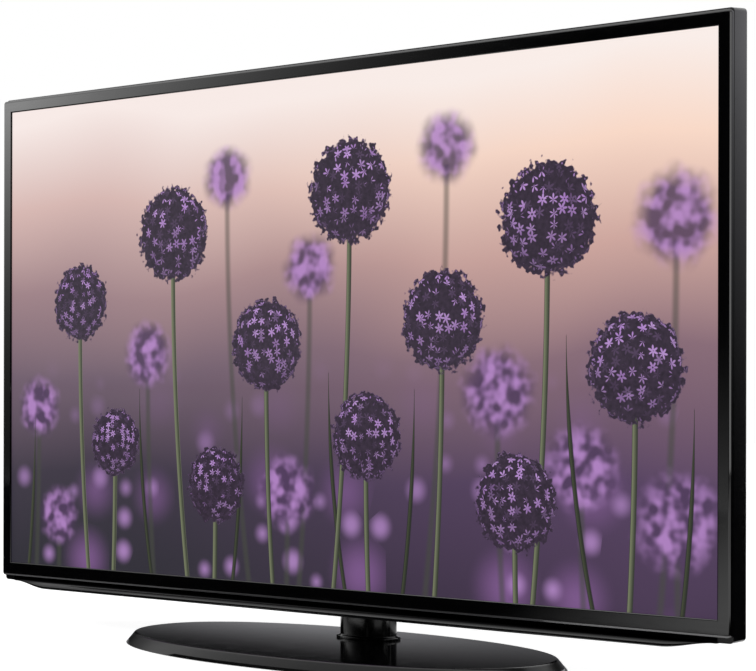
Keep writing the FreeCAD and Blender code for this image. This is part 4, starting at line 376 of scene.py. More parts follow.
def make_materials():
    """One finish for each of the record's material slots."""
    return {
        "bezel_gloss": bezel_finish("bezel_gloss"),
        "trim_gloss": trim_finish("trim_gloss"),
        "neck_gloss": gloss_shader("neck_gloss", rough=0.12, smear=0.05).material,
        "base_gloss": base_finish("base_gloss"),
        "window_plastic": gloss_shader("window_plastic", (0.012, 0.003, 0.004), 0.05).material,
        "cover_plastic": cover_finish("cover_plastic"),
        "foam": grained_plastic("foam", (0.02, 0.02, 0.02), 0.85, 900.0, 0.2),
        "frame_plastic": grained_plastic("frame_plastic", (0.02, 0.02, 0.021), 0.5),
        "component_black": grained_plastic("component_black", (0.02, 0.02, 0.022), 0.4),
        "white_nylon": grained_plastic("white_nylon", (0.72, 0.71, 0.66), 0.4, 800.0, 0.02, 0.05),
        "black_nylon": grained_plastic("black_nylon", (0.012, 0.012, 0.013), 0.35, 900.0, 0.02),
        "speaker_plastic": grained_plastic("speaker_plastic", (0.02, 0.02, 0.021), 0.55),
        "key_plastic": grained_plastic("key_plastic", (0.013, 0.013, 0.014), 0.32, 2200.0, 0.02),
        "acetal": grained_plastic("acetal", (0.74, 0.73, 0.69), 0.3, 700.0, 0.01, 0.04),
        "clear_plastic": grained_plastic("clear_plastic", (0.75, 0.77, 0.77), 0.15, 700.0,
                                         0.01, 0.04),
        "zinc_steel": sheet_metal("zinc_steel", (0.5, 0.51, 0.53), 0.36),
        "pan_steel": sheet_metal("pan_steel", (0.48, 0.49, 0.5), 0.4, spangle=0.5),
        "tin_plate": sheet_metal("tin_plate", (0.6, 0.6, 0.58), 0.3),
        "steel_screws": sheet_metal("steel_screws", (0.42, 0.42, 0.43), 0.32, (30.0, 30.0, 1.0)),
        "spindle_steel": sheet_metal("spindle_steel", (0.48, 0.48, 0.48), 0.3, (20.0, 20.0, 60.0)),
        "bare_aluminium": sheet_metal("bare_aluminium", (0.68, 0.69, 0.7), 0.34, (40.0, 1.0, 1.0)),
        "nickel": sheet_metal("nickel", (0.7, 0.68, 0.63), 0.16, (10.0, 1.0, 10.0)),
        "black_steel": sheet_metal("black_steel", (0.014, 0.014, 0.015), 0.42, (1.0, 1.0, 1.0),
                                   0.0),
        "driver_steel": sheet_metal("driver_steel", (0.03, 0.03, 0.033), 0.5, (1.0, 1.0, 1.0), 0.0),
        "board_green": circuit_board("board_green", (0.012, 0.09, 0.035), (0.03, 0.17, 0.07)),
        "board_tan": circuit_board("board_tan", (0.36, 0.23, 0.09), (0.5, 0.33, 0.14)),
        "led_board": circuit_board("led_board", (0.8, 0.8, 0.78), (0.7, 0.7, 0.68)),
        "rubber_black": soft_rubber("rubber_black"),
        "lead_black": soft_rubber("lead_black", (0.02, 0.02, 0.02), 0.5),
        "film_white": white_film("film_white"),
        "white_sheet": white_film("white_sheet", (0.88, 0.88, 0.87), 0.6),
        "flex_film": amber_film("flex_film"),
    }


def arc(start, middle, end, count):
    """Points along a smooth bend that starts, passes through the middle point and ends."""
    a, m, b = Vector(start), Vector(middle), Vector(end)
    pull = m * 2 - (a + b) / 2
    return [a.lerp(pull, t).lerp(pull.lerp(b, t), t) for t in [i / count for i in range(count + 1)]]


def rounded_loop(half_x, low_z, high_z, radius, y, steps=10):
    """A rounded rectangle's points at one depth, always as many of them."""
    points = []
    corners = [(half_x, high_z, 0), (-half_x, high_z, 90),
               (-half_x, low_z, 180), (half_x, low_z, 270)]
    for x, z, start in corners:
        centre_x = x - math.copysign(radius, x)
        centre_z = z - radius if z == high_z else z + radius
        for i in range(steps + 1):
            angle = math.radians(start + 90 * i / steps)
            points.append(Vector((centre_x + radius * math.cos(angle), y,
                                  centre_z + radius * math.sin(angle))))
    return points


def oval_loop(half_x, half_y, power, centre_y, z, count=288):
    """Points of |x/a|^n + |y/b|^n = 1 at one height."""
    points = []
    for i in range(count):
        angle = 2 * math.pi * i / count
        c, s = math.cos(angle), math.sin(angle)
        points.append(Vector((half_x * math.copysign(abs(c) ** (2 / power), c),
                              centre_y + half_y * math.copysign(abs(s) ** (2 / power), s), z)))
    return points


def put(name, data):
    """A new object in the scene."""
    obj = bpy.data.objects.new(name, data)
    bpy.context.scene.collection.objects.link(obj)
    return obj


def skin(name, loops, material, angle, ring=False):
    """A mesh through loops of as many points each; a ring joins the last loop to the first."""
    bm = bmesh.new()
    rows = [[bm.verts.new(p) for p in loop] for loop in loops]
    count = len(rows[0])
    pairs = list(zip(rows, rows[1:])) + ([(rows[-1], rows[0])] if ring else [])
    for low, high in pairs:
        for i in range(count):
            j = (i + 1) % count
            bm.faces.new((low[i], low[j], high[j], high[i]))
    if not ring:
        bm.faces.new(list(reversed(rows[0])))
        bm.faces.new(rows[-1])
    bmesh.ops.recalc_face_normals(bm, faces=bm.faces)
    mesh = bpy.data.meshes.new(name)
    bm.to_mesh(mesh)
    bm.free()
    mesh.materials.append(material)
    obj = put(name, mesh)
    smooth(obj, angle)
    return obj


def smooth(obj, angle):
    """Smooth shading, with edges sharper than the angle kept crisp."""
    bpy.context.view_layer.objects.active = obj
    for other in bpy.context.selected_objects:
        other.select_set(False)
    obj.select_set(True)
    bpy.ops.object.shade_smooth_by_angle(angle=math.radians(angle))


def dress(obj, body, slot, *replaced):
    """Seats a new piece under its body and hides the nodes it stands for. The slot is not used."""
    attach(obj, body)
    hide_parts(*replaced)


def front_frame(finish):
    """The glossy bezel: a chamfered outer edge, a flat face and a small bevel round the picture.

    The outline gives how far each loop lies inside the frame's reach, and its depth."""
    front, back = bezel_low.y, bezel_high.y
    half = bezel_high.x
    low, high = bezel_low.z, bezel_high.z
    r = EDGE_ROUND
    edge, depth = FRAME_EDGE, FRAME_EDGE_DEPTH
    slope = math.hypot(edge, depth)
    along_x, along_y = edge / slope, depth / slope
    g = r + BRACE
    outline = [
        (FRAME_SEAM, back), (FRAME_SEAM, back - FRAME_SEAM), (0.0, back - FRAME_SEAM),
        (0.0, front + depth + g), (0.0, front + depth + r),
        (0.25 * r * along_x, front + depth + 0.25 * r * (1 - along_y)),
        (r * along_x, front + depth - r * along_y), (g * along_x, front + depth - g * along_y),
        (edge - g * along_x, front + g * along_y), (edge - r * along_x, front + r * along_y),
        (edge + 0.25 * r * (1 - along_x), front + 0.25 * r * along_y),
        (edge + r, front), (edge + g, front),
    ]
    loops = []
    for inset, y in outline:
        radius = max(FRAME_CORNER - inset * FRAME_CORNER_FALL, FRAME_FACE_CORNER)
        loops.append(rounded_loop(half - inset, low + inset, high - inset, radius, y))
    b = WINDOW_BEVEL
    window = [
        (b + g, front), (b + r, front), (b - r * 0.4, front + r * 0.3),
        (r * 0.4, front + b - r * 0.3), (0.0, front + b + r), (0.0, panel_low.y),
    ]
    for grow, y in window:
        loops.append(rounded_loop(screen_half + grow, screen_low_z - grow, screen_high_z + grow,
                                  WINDOW_CORNER, y))
    w = FRAME_WALL
    for y in (panel_low.y, back):
        loops.append(rounded_loop(half - w, low + w, high - w, FRAME_FACE_CORNER, y))
    obj = skin("front_frame", loops, finish, 25, ring=True)
    dress(obj, "display", "bezel_gloss", "front_bezel")


def trim_section(x, drop):
    """The lip's cross-section at x, which hangs by drop, from 0 at the ends to 1."""
    web_back = bezel_high.y
    web = web_back - TRIM_WEB
    lip = web - TRIM_END_REACH - TRIM_LIP_REACH * drop
    top = trim_high.z
    shelf = cover_low.z - TRIM_SHELF_GAP
    depth = shelf - trim_low.z - TRIM_END_THICKNESS
    bottom = shelf - TRIM_END_THICKNESS - depth * drop
    recess = top - TRIM_RECESS
    crest = bottom + TRIM_CREST_SHARE * (recess - bottom)
    hollow = (x, 0.7 * web + 0.3 * lip, 0.4 * recess + 0.6 * crest)
    under = lip + TRIM_UNDER_REACH[0] + TRIM_UNDER_REACH[1] * drop
    roll = (x, lip + TRIM_ROLL * (under - lip), bottom + TRIM_ROLL * (crest - bottom))
    back = trim_high.y
    round_back = min(TRIM_BACK_ROUND, shelf - bottom)
    bend = (x, back - TRIM_BACK_BEND * round_back, bottom + TRIM_BACK_BEND * (shelf - bottom))
    points = [Vector((x, web_back, top)), Vector((x, web, top)), Vector((x, web, recess + BRACE))]
    points += arc((x, web, recess), hollow, (x, lip, crest), 12)
    points += arc((x, lip, crest), roll, (x, under, bottom), 8)[1:]
    points += arc((x, back - round_back, bottom), bend, (x, back, shelf), 6)
    points.append(Vector((x, web_back, shelf)))
    return points


def trim_stations():
    """Places along the lip and how far it hangs there: an easy S at each end."""
    stations = []
    for i in range(TRIM_STATIONS + 1):
        t = i / TRIM_STATIONS
        x = trim_high.x + (TRIM_FULL_HALF - trim_high.x) * t
        stations.append((x, max(0.5 - 0.5 * math.cos(math.pi * t), TRIM_LEAST_DROP)))
    middle = [(TRIM_FULL_HALF * (1 - 2 * i / 8), 1.0) for i in range(1, 8)]
    return stations + middle + [(-x, drop) for x, drop in reversed(stations)]


def lower_lip(finish):
    """The glossy lip under the frame, which curls up at both ends."""
    loops = [trim_section(x, drop) for x, drop in trim_stations()]
    obj = skin("lower_lip", loops, finish, 35)
    dress(obj, "display", "trim_gloss", "bottom_trim")


def oval_base(finish):
    """The base's cover: a bevelled rim, a flat glossy top, and a hollow underside.

    The outline gives how far each loop lies inside the base's reach, and its height."""
    half_x, half_y = base_high.x, base_high.y
    low, high = base_low.z, base_high.z
    rise = high - low
    ceiling = high - BASE_WALL
    r = BASE_EDGE_ROUND
    slope = math.hypot(RIM_BEVEL, rise)
    along, up = r * RIM_BEVEL / slope, r * rise / slope
    near, middle, far = BASE_RINGS
    inner = RIM_BEVEL * (ceiling - low) / rise + BASE_WALL_ALONG
    outside = [
        (BASE_WALL_ALONG, low), (BASE_FOOT_EDGE, low), (0.0, low + BASE_FOOT_EDGE),
        (BASE_FOOT_STEP[0], low + BASE_FOOT_STEP[1]),
        (RIM_BEVEL - along * 1.2, high - up * 1.2),
        (RIM_BEVEL - along * 1.0, high - up * 1.0),
        (RIM_BEVEL - along * 0.35, high - up * 0.45),
        (RIM_BEVEL + r * 0.35, high - up * 0.1),
        (RIM_BEVEL + r, high), (RIM_BEVEL + r + BRACE, high),
        (RIM_BEVEL + near, high), (RIM_BEVEL + far, high),
    ]
    inside = [(inner + middle, ceiling), (inner, ceiling)]

    def ovals(outline):
        return [oval_loop(half_x - inset, half_y - inset, BASE_POWER, 0.0, z)
                for inset, z in outline]

    hole = [oval_loop(SPINDLE_HOLE, SPINDLE_HOLE, 2.0, PIVOT_Y, z) for z in (high, ceiling)]
    loops = ovals(outside) + hole + ovals(inside)
    obj = skin("oval_base", loops, finish, 35, ring=True)
    dress(obj, "stand_base", "base_gloss", "base_cover")


def neck_sleeve(finish):
    """The glossy neck with its small flared foot, closed at the top.

    The outline gives how far each loop lies outside the neck's own oval, and its height."""
    z = neck_low.z
    top = neck_high.z
    flare = neck_high.x - NECK_HALF_WIDTH
    rise = COLLAR_HEIGHT - COLLAR_WALL
    low_edge, high_edge = COLLAR_EDGE
    outline = [(flare - low_edge, z), (flare, z + low_edge), (flare, z + COLLAR_WALL - high_edge)]
    for i in range(COLLAR_STEPS + 1):
        t = i / COLLAR_STEPS
        outline.append(((flare - high_edge) * (1 - t) ** COLLAR_POWER, z + COLLAR_WALL + rise * t))
    outline.append((0.0, z + COLLAR_HEIGHT + BRACE))
    r = NECK_TOP_ROUND
    outline += [(0.0, top - r), (-0.3 * r, top - 0.3 * r), (-r, top)]
    half_x, half_y = NECK_HALF_WIDTH, NECK_HALF_DEPTH
    loops = [oval_loop(half_x + grow, half_y + grow, NECK_POWER, PIVOT_Y, height, count=160)
             for grow, height in outline]
    obj = skin("neck_sleeve", loops, finish, 40)
    dress(obj, "display", "neck_gloss", "neck_column")


def soft_cover(finish):
    """The rear cover with its sharp edges softly rounded, and its front top edge more so."""
    obj = put("soft_rear_cover", nodes["rear_cover"].data.copy())
    bm = bmesh.new()
    bm.from_mesh(obj.data)
    bmesh.ops.remove_doubles(bm, verts=bm.verts, dist=1e-6)
    bmesh.ops.dissolve_limit(bm, angle_limit=math.radians(0.5), verts=bm.verts, edges=bm.edges)
    weight = bm.edges.layers.float.new("bevel_weight_edge")
    above, before = bezel_high.z + COVER_CROWN_RISE, cover_low.y + 0.1 * MM
    for edge in bm.edges:
        edge[weight] = float(all(v.co.z > above and v.co.y < before for v in edge.verts))
    bm.to_mesh(obj.data)
    bm.free()
    obj.data.materials.clear()
    obj.data.materials.append(finish)
    smooth(obj, COVER_EDGE_ANGLE)
    crown = obj.modifiers.new("crown", "BEVEL")
    crown.width = COVER_CROWN
    crown.segments = 4
    crown.limit_method = "WEIGHT"
    crown.harden_normals = True
    bevel = obj.modifiers.new("edge", "BEVEL")
    bevel.width = COVER_EDGE
    bevel.segments = 2
    bevel.limit_method = "ANGLE"
    bevel.angle_limit = math.radians(COVER_EDGE_ANGLE)
    bevel.harden_normals = True
    dress(obj, "display", "cover_plastic", "rear_cover")


# The picture is a generic one: round blossoms in a meadow at dusk. Each blossom is metres right of
# the screen's middle, metres above its lower edge, and a radius; a blade of grass has no radius.
# Stems lean to the left and right in turn. The balls' spacing keeps their florets apart.
SHARP_BLOSSOMS = [
    (-0.165, 0.118, 0.047), (0.292, 0.112, 0.055), (-0.345, 0.168, 0.044), (0.078, 0.182, 0.052),
    (0.448, 0.262, 0.060), (-0.080, 0.292, 0.056), (0.190, 0.318, 0.058), (-0.412, 0.352, 0.050),
    (0.335, 0.428, 0.064), (-0.240, 0.436, 0.060), (0.052, 0.474, 0.062),
]
SOFT_BLOSSOMS = [
    (-0.492, 0.214, 0.034), (-0.285, 0.283, 0.036), (-0.010, 0.385, 0.036), (0.268, 0.236, 0.044),
    (0.498, 0.421, 0.046), (-0.146, 0.502, 0.034), (0.196, 0.516, 0.036), (0.380, 0.152, 0.042),
    (-0.045, 0.112, 0.038), (0.500, 0.098, 0.046), (-0.452, 0.068, 0.032),
]
GRASS_BLADES = [
    (-0.500, 0.200), (-0.300, 0.240), (-0.120, 0.230), (0.020, 0.260),
    (0.150, 0.240), (0.360, 0.300), (0.520, 0.220),
]
STEM_LEANS = (-0.12, 0.16)
STEM_START = 4.0 * MM
BALL_SPACING = 3.0
PETALS = 6.0
TURN = 6.28


def dusk(s, x, z):
    """The far background: pale sky over haze over a dark meadow, warmer on the right."""
    drift = s.times(s.maths("SUBTRACT", s.noise(3.2, 1.0, 0.4), 0.5), 0.16)
    height = s.maths("ADD", s.maths("DIVIDE", z, SCREEN_HEIGHT), drift)
    ramps = []
    for stops in (
        [(0.0, (0.022, 0.02, 0.03)), (0.2, (0.04, 0.031, 0.05)), (0.42, (0.15, 0.10, 0.14)),
         (0.6, (0.33, 0.21, 0.23)), (0.78, (0.65, 0.45, 0.42)), (0.97, (0.90, 0.79, 0.76))],
        [(0.0, (0.05, 0.028, 0.065)), (0.22, (0.085, 0.046, 0.11)), (0.45, (0.235, 0.138, 0.175)),
         (0.62, (0.6, 0.37, 0.33)), (0.82, (0.93, 0.68, 0.56)), (0.98, (0.93, 0.83, 0.79))],
    ):
        ramp = s.add("ShaderNodeValToRGB", {0: height})
        while len(ramp.color_ramp.elements) < len(stops):
            ramp.color_ramp.elements.new(0.5)
        for element, (at, colour) in zip(ramp.color_ramp.elements, stops):
            element.position = at
            element.color = (*colour, 1)
        ramps.append(ramp.outputs[0])
    return s.mix(s.step(x, -0.4, 0.5), *ramps)


def spots(s, flat, seed, scale, radius, blur, chance):
    """Discs of soft light, one in each cell that chance picks."""
    moved = s.add("ShaderNodeVectorMath", {0: flat, 1: seed}).outputs[0]
    cells = s.add("ShaderNodeTexVoronoi", {"Vector": moved, "Scale": scale, "Randomness": 0.55},
                  voronoi_dimensions="2D")
    pick, spread, _ = s.split(cells.outputs["Color"])
    size = s.times(s.maths("ADD", spread, 0.6), radius)
    disc = s.step(s.maths("SUBTRACT", cells.outputs["Distance"], size), blur, -blur)
    return s.times(disc, s.maths("GREATER_THAN", pick, 1 - chance))


def stems(s, x, z, blossoms, width, curve, soft, taper=0.001):
    """Where a stem runs from each blossom down to the edge, and how far across it a point lies."""
    cover = across = None
    for i, (cx, cz, radius) in enumerate(blossoms):
        lean = curve * STEM_LEANS[i % 2]
        below = s.maths("SUBTRACT", cz - 0.5 * radius, z)
        sway = s.times(below, below, lean)
        wide = s.step(below, 0.0, taper, 0.1 * width, width)
        side = s.maths("DIVIDE", s.maths("SUBTRACT", s.maths("SUBTRACT", x, cx), sway), wide)
        here = s.times(s.step(s.maths("ABSOLUTE", side), 1 + soft, 1 - soft),
                       s.step(below, 0.0, STEM_START))
        if i == 0:
            cover, across = here, side
        else:
            inputs = {0: here, 2: across, 3: side}
            across = s.add("ShaderNodeMix", inputs, data_type="FLOAT").outputs[0]
            cover = s.maths("MAXIMUM", cover, here)
    return cover, across


def globes(s, flat, blossoms, edge, fringe):
    """The blossom in front at each point: its cover, and the point's own place on its ball."""
    cover, local = None, (0.0, 0.0, 0.0)
    for i, (cx, cz, radius) in enumerate(blossoms):
        shift = BALL_SPACING * i
        inputs = {0: flat, 1: (1 / radius, 1 / radius, 0.0), 2: (-cx / radius, -cz / radius, shift)}
        own = s.add("ShaderNodeVectorMath", inputs, operation="MULTIPLY_ADD").outputs[0]
        reach = s.add("ShaderNodeVectorMath", {0: own, 1: (0.0, 0.0, shift)}, operation="DISTANCE")
        here = s.step(s.maths("ADD", reach.outputs["Value"], fringe), 1.0 + edge, 1.0 - edge)
        local = s.add("ShaderNodeMix", {0: here, 4: local, 5: own}, data_type="VECTOR").outputs[1]
        cover = here if i == 0 else s.maths("MAXIMUM", cover, here)
    return cover, local


def florets(s, local, scale):
    """Star florets on a ball: how bright a petal is at the point, and how high the point lies."""
    u, v, shift = s.split(local)
    flat_square = s.maths("ADD", s.times(u, u), s.times(v, v))
    w = s.maths("SQRT", s.maths("MAXIMUM", s.maths("SUBTRACT", 1.0, flat_square), 0.0))
    ball = s.add("ShaderNodeCombineXYZ", {0: u, 1: v, 2: s.maths("ADD", w, shift)}).outputs[0]
    cells = s.add("ShaderNodeTexVoronoi", {"Vector": ball, "Scale": scale, "Randomness": 0.75})
    inputs = {0: ball, 1: cells.outputs["Position"]}
    away = s.split(s.add("ShaderNodeVectorMath", inputs, operation="SUBTRACT").outputs[0])
    angle = s.maths("ARCTAN2", away[1], away[0])
    pick, twist, _ = s.split(cells.outputs["Color"])
    wave = s.maths("COSINE", s.maths("MULTIPLY_ADD", angle, PETALS, s.times(twist, TURN)))
    reach = s.maths("MULTIPLY_ADD", wave, 0.17, 0.36)
    petal = s.step(s.maths("SUBTRACT", cells.outputs["Distance"], reach), 0.06, -0.06)
    heart = s.step(cells.outputs["Distance"], 0.07, 0.12)
    lit = s.step(pick, 0.25, 0.5, 0.1, 1.0)
    return s.times(petal, heart, lit, s.step(w, 0.0, 0.8, 0.3, 1.0)), v


def fringe(s, scale, depth):
    """How far petals break a blossom's round outline."""
    return s.times(s.maths("SUBTRACT", s.noise(scale, 1.0), 0.5), depth)


def picture_finish():
    """The panel: dark matt glass that shows a meadow of round blossoms at dusk."""
    s = Shader("picture_panel")
    x, _, height = s.split(s.place())
    z = s.maths("SUBTRACT", height, screen_low_z)
    flat = s.add("ShaderNodeCombineXYZ", {0: x, 1: z}).outputs[0]
    low = s.step(z, 0.30, 0.02)
    view = dusk(s, x, z)

    # Soft spots low in the meadow, large and faint, then small and bright
    haze = s.times(spots(s, flat, (3.1, 7.7, 0), 9.0, 0.18, 0.24, 0.55), s.times(low, 0.7))
    view = s.mix(haze, view, (0.24, 0.11, 0.31, 1))
    dots = s.times(spots(s, flat, (8.3, 2.9, 0), 21.0, 0.16, 0.2, 0.4), s.times(low, 0.75))
    view = s.mix(dots, view, (0.46, 0.25, 0.58, 1))

    # Blossoms out of focus behind
    cover, _ = stems(s, x, z, SOFT_BLOSSOMS, 0.0038, 1.0, soft=0.85)
    view = s.mix(s.times(cover, 0.6), view, (0.05, 0.055, 0.04, 1))
    cover, _ = globes(s, flat, SOFT_BLOSSOMS, 0.36, fringe(s, 45.0, 0.4))
    blotch = s.mix(s.step(s.noise(52.0, 1.0), 0.36, 0.68),
                   (0.07, 0.035, 0.095, 1), (0.43, 0.22, 0.54, 1))
    view = s.mix(s.times(cover, 0.92), view, blotch)

    # Grass and stems in front, each lit on its left side
    blades = [(side, tip, 0.0) for side, tip in GRASS_BLADES]
    for plants, width, curve, soft, taper, lit, dark in (
        (blades, 0.003, 2.4, 0.3, 0.13, (0.05, 0.06, 0.03, 1), (0.012, 0.015, 0.01, 1)),
        (SHARP_BLOSSOMS, 0.0036, 1.0, 0.15, 0.001, (0.17, 0.19, 0.11, 1), (0.025, 0.03, 0.02, 1)),
    ):
        cover, across = stems(s, x, z, plants, width, curve, soft, taper)
        view = s.mix(cover, view, s.mix(s.step(across, -1.0, 1.0), lit, dark))

    # Blossoms in front, with star florets on a dark ball
    cover, local = globes(s, flat, SHARP_BLOSSOMS, 0.03, fringe(s, 150.0, 0.42))
    bright, rise = florets(s, local, 4.6)
    light = s.step(rise, -1.0, 1.0, 0.35, 1.0)
    body = s.mix(s.noise(190.0, 2.0), (0.006, 0.003, 0.008, 1), (0.05, 0.03, 0.06, 1))
    petal = s.mix(s.noise(60.0, 1.0), (0.34, 0.15, 0.5, 1), (0.66, 0.42, 0.82, 1))
    view = s.mix(cover, view, s.mix(s.times(bright, light), body, petal))

    s.set(Base_Color=(0.006, 0.006, 0.007, 1), Roughness=0.5, Specular_IOR_Level=0.25)
    s.set(Emission_Color=view, Emission_Strength=1.0)
    s.set(Normal=s.bump(s.noise(2500.0, 1.0), 0.1, 0.01 * MM))
    return s.material


# Every node of the frame gets its slot's finish, and five are shown by finer pieces
finishes = make_materials()
finishes["panel_glass"] = picture_finish()
record_slots = {entry["node"]: entry["material_slot"] for entry in frame["record"]["subparts"]}
for name, node in nodes.items():
    node.data.materials.clear()
    node.data.materials.append(finishes[record_slots[name]])

front_frame(finishes["bezel_gloss"])
lower_lip(finishes["trim_gloss"])
oval_base(finishes["base_gloss"])
neck_sleeve(finishes["neck_gloss"])
soft_cover(finishes["cover_plastic"])


def photo_camera():
    """The camera at the photograph's viewing angle."""
    sin, cos = math.sin, math.cos
    ahead = Vector((-sin(CAMERA_YAW), cos(CAMERA_YAW), 0.0))
    right = Vector((cos(CAMERA_YAW), sin(CAMERA_YAW), 0.0))
    up = Vector((0.0, 0.0, 1.0))
    tilted = ahead * cos(CAMERA_PITCH) - up * sin(CAMERA_PITCH)
    raised = up * cos(CAMERA_PITCH) + ahead * sin(CAMERA_PITCH)
    side = right * cos(CAMERA_ROLL) + raised * sin(CAMERA_ROLL)
    top = raised * cos(CAMERA_ROLL) - right * sin(CAMERA_ROLL)
    data = bpy.data.cameras.new("photo_camera")
    data.sensor_fit = "HORIZONTAL"
    data.sensor_width = SENSOR_WIDTH
    data.lens = FOCAL_PIXELS / PHOTO_WIDTH * SENSOR_WIDTH
    data.shift_y = (HORIZON_ROW - PHOTO_HEIGHT / 2) / PHOTO_WIDTH
    camera = put("photo_camera", data)
    matrix = Matrix((side, top, -tilted)).transposed().to_4x4()
    matrix.translation = CAMERA_PLACE
    camera.matrix_world = matrix
    bpy.context.scene.camera = camera


def seen_directly(tree):
    """One for a ray from the camera, in a reflection or through glass, and zero for the rest."""
    path = tree.nodes.new("ShaderNodeLightPath")
    seen = path.outputs["Is Camera Ray"]
    for ray in ("Is Transmission Ray", "Is Glossy Ray"):
        either = tree.nodes.new("ShaderNodeMath")
        either.operation = "MAXIMUM"
        tree.links.new(seen, either.inputs[0])
        tree.links.new(path.outputs[ray], either.inputs[1])
        seen = either.outputs[0]
    return seen


def surround():
    """White for the camera, in reflections and through glass, at a plain level as a light."""
    world = bpy.data.worlds.new("studio")
    bpy.context.scene.world = world
    world.use_nodes = True
    tree = world.node_tree
    shade = tree.nodes["Background"]
    strength = tree.nodes.new("ShaderNodeMapRange")
    tree.links.new(seen_directly(tree), strength.inputs[0])
    strength.inputs[3].default_value = SURROUND_LIGHT
    strength.inputs[4].default_value = 1.0
    tree.links.new(strength.outputs[0], shade.inputs["Strength"])
    shade.inputs["Color"].default_value = (1, 1, 1, 1)


def lying(places, z):
    """The corners of a level card over these places on the floor."""
    return [(x, y, z) for x, y in places]


def level(x_low, x_high, y_low, y_high, z):
    """The corners of a level rectangle."""
    return lying([(x_low, y_low), (x_high, y_low), (x_high, y_high), (x_low, y_high)], z)


def upright(start, end, low, high):
    """The corners of an upright card over a line on the floor."""
    return [(*start, low), (*end, low), (*end, high), (*start, high)]


def plane(name, corners, finish):
    """A flat piece of the studio, which isn't part of the object."""
    mesh = bpy.data.meshes.new(name)
    mesh.from_pydata([Vector(corner) for corner in corners], [], [(0, 1, 2, 3)])
    mesh.materials.append(finish)
    obj = put(name, mesh)
    return obj


def floor():
    """A plain pale floor that takes the object's shadow and is white where nothing shades it."""
    s = Shader("floor")
    glow = s.times(seen_directly(s.tree), FLOOR_GLOW)
    s.set(Base_Color=(0.8, 0.8, 0.8, 1), Roughness=0.7, Specular_IOR_Level=0.2)
    s.set(Emission_Color=(1, 1, 1, 1), Emission_Strength=glow)
    plane("floor", level(-FLOOR_HALF, FLOOR_HALF, -FLOOR_HALF, FLOOR_HALF, 0), s.material)


def card(name, corners, tone, tint=(1.0, 1.0, 1.0)):
    """A studio card that only reflections see; tone gives its brightness at a place x, y, z."""
    s = Shader(name)
    s.set(Base_Color=(0, 0, 0, 1), Specular_IOR_Level=0.0)
    s.set(Emission_Color=(*tint, 1), Emission_Strength=tone(s, *s.split(s.place())))
    obj = plane(name, corners, s.material)
    obj.visible_camera = False
    obj.visible_diffuse = False
    obj.visible_transmission = False
    obj.visible_shadow = False


def ramp_power(s, value, low, high, power):
    """Rises from 0 at low to 1 at high, slowly at first."""
    share = s.add("ShaderNodeMapRange", {0: value, 1: low, 2: high}).outputs[0]
    return s.maths("POWER", share, power)


def front_tone(s, x, y, z):
    """Bright at the upper left and black at the right, as the front frame shows it.

    A low strip at the right glows, for the frame's lower right corner."""
    across = ramp_power(s, x, -1.4, -3.94, 2.5)
    up = s.maths("MULTIPLY_ADD", ramp_power(s, z, 0.0, 1.33, 3.0), 0.97, 0.03)
    high = s.times(up, s.step(z, 1.5, 2.3, 4.6, 1.6))
    strip = s.times(s.step(x, -1.3, -1.2), s.step(x, -0.9, -1.0))
    glow = s.times(strip, s.times(ramp_power(s, z, 0.55, 0.0, 2.0), 0.75))
    return s.maths("MULTIPLY_ADD", across, high, glow)


def front_floor_tone(s, x, y, z):
    """The floor before the set: black cloth on the left and near the set, pale on the right."""
    along = s.maths("MULTIPLY_ADD", y, -0.45, s.maths("SUBTRACT", x, 0.2835))
    return s.times(s.step(along, -0.15, 0.35, 0.0, 1.6), s.step(y, -0.505, -0.525))


def side_tone(s, x, y, z):
    """What the right side wall shows: dark at the floor, pale above."""
    return s.times(ramp_power(s, z, 0.0, 0.87, 3.0), 0.92)


def back_tone(s, x, y, z):
    """What the top of the base shows: pale low down, and paler towards the left."""
    fall = s.times(ramp_power(s, z, 0.105, 0.045, 2.0), 0.45)
    return s.times(fall, s.step(x, 0.1, -0.35, 0.4, 1.0))


def plain_tone(brightness):
    """The same brightness all over a card."""
    return lambda s, x, y, z: brightness


def under_tone(s, x, y, z):
    """The floor under the set, for the frame's lower edge: paler on the right."""
    return s.maths("ADD", s.step(x, -0.5, 0.3, 0.35, 0.9), s.step(x, 0.25, 0.38, 0.0, 1.2))


def hollow_tone(s, x, y, z):
    """What the lip's hollow shows: pale at its edge and dark in its depth."""
    return s.times(ramp_power(s, y, -0.48, -0.11, 1.8), 1.7)


def left_tone(s, x, y, z):
    """What the frame's left edge and the base's left end show: dark near the floor."""
    return s.step(z, 0.1, 0.75)


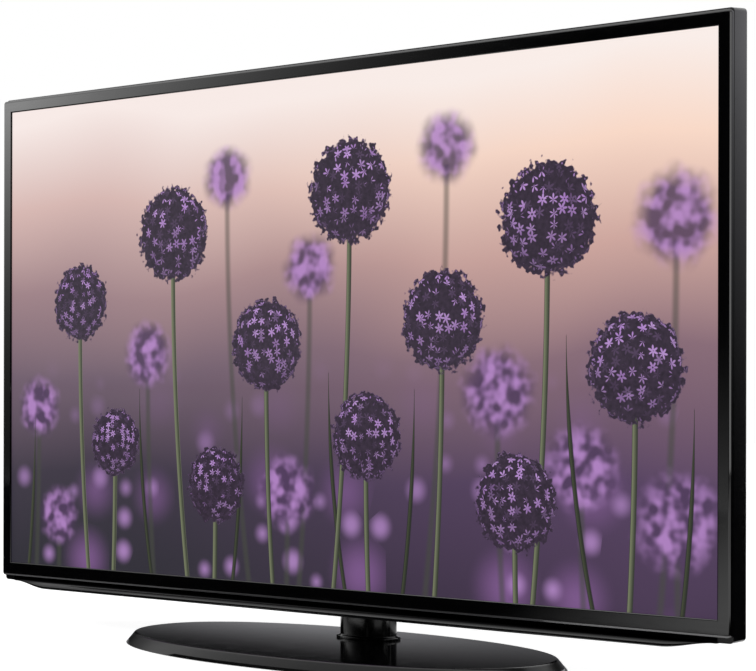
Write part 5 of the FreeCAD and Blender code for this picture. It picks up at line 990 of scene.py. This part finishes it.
def soft_light(name, place, target, size, power):
    """A rectangular lamp that looks at its target and shows in no reflection."""
    data = bpy.data.lights.new(name, "AREA")
    data.shape = "RECTANGLE"
    data.size, data.size_y = size
    data.energy = power
    light = put(name, data)
    light.location = place
    light.rotation_mode = "QUATERNION"
    light.rotation_quaternion = (Vector(target) - Vector(place)).to_track_quat("-Z", "Y")
    light.visible_camera = False
    light.visible_glossy = False


# The card for the lip's hollow lies at the camera's height, where no upright face mirrors it
HOLLOW_PLACES = [(-1.02, -0.5), (0.215, -0.5), (0.4, -0.1), (-0.6, -0.1)]

photo_camera()
surround()
floor()
card("front_card", upright((-7.0, -3.0), (6.5, -3.0), 0.01, 4.0), front_tone)
card("floor_card", level(-6.0, 1.2, -2.95, -0.14, 0.004), front_floor_tone)
card("side_card", upright((0.75, 0.95), (1.45, 0.60), 0.002, 1.3), side_tone, COOL)
card("side_cloth", level(0.58, 1.6, -0.02, 1.0, 0.003), plain_tone(0.0))
card("back_card", upright((-1.0, 0.35), (0.6, 0.35), 0.002, 0.2), back_tone, COOL)
card("left_card", upright((-0.75, -0.06), (-0.75, 0.6), 0.002, 0.8), left_tone)
card("right_cloth", upright((0.8, -0.35), (0.8, 0.3), 0.002, 0.22), plain_tone(0.0))
card("crown_card", level(-1.15, 0.66, -0.09, -0.03, 0.76), plain_tone(2.2))
card("rim_card", level(0.3, 0.66, -0.125, -0.09, 0.76), plain_tone(0.0))
card("lip_card", level(-0.6, 0.66, -0.22, -0.125, 0.76), plain_tone(1.7))
card("hollow_card", lying(HOLLOW_PLACES, CAMERA_PLACE[2]), hollow_tone)
card("right_card", upright((0.72, -0.62), (1.1, -0.62), 0.2, 0.95), plain_tone(2.8))
card("under_left_card", level(-0.75, -0.285, -0.13, 0.05, 0.0045), under_tone)
card("under_right_card", level(0.285, 0.66, -0.13, 0.05, 0.0045), under_tone)
card("neck_left_card", level(-0.36, -0.17, -0.36, -0.145, 0.0045), plain_tone(1.3))
card("neck_right_card", level(0.03, 0.24, -0.36, -0.16, 0.0045), plain_tone(0.7))
soft_light("high_left", (-2.2, -2.4, 2.4), (0, 0, 0.4), (1.6, 1.6), 60)
soft_light("right_back", (2.6, 1.6, 1.8), (0.5, 0, 0.4), (0.8, 1.6), 30)

bpy.context.scene.view_settings.view_transform = "Standard"
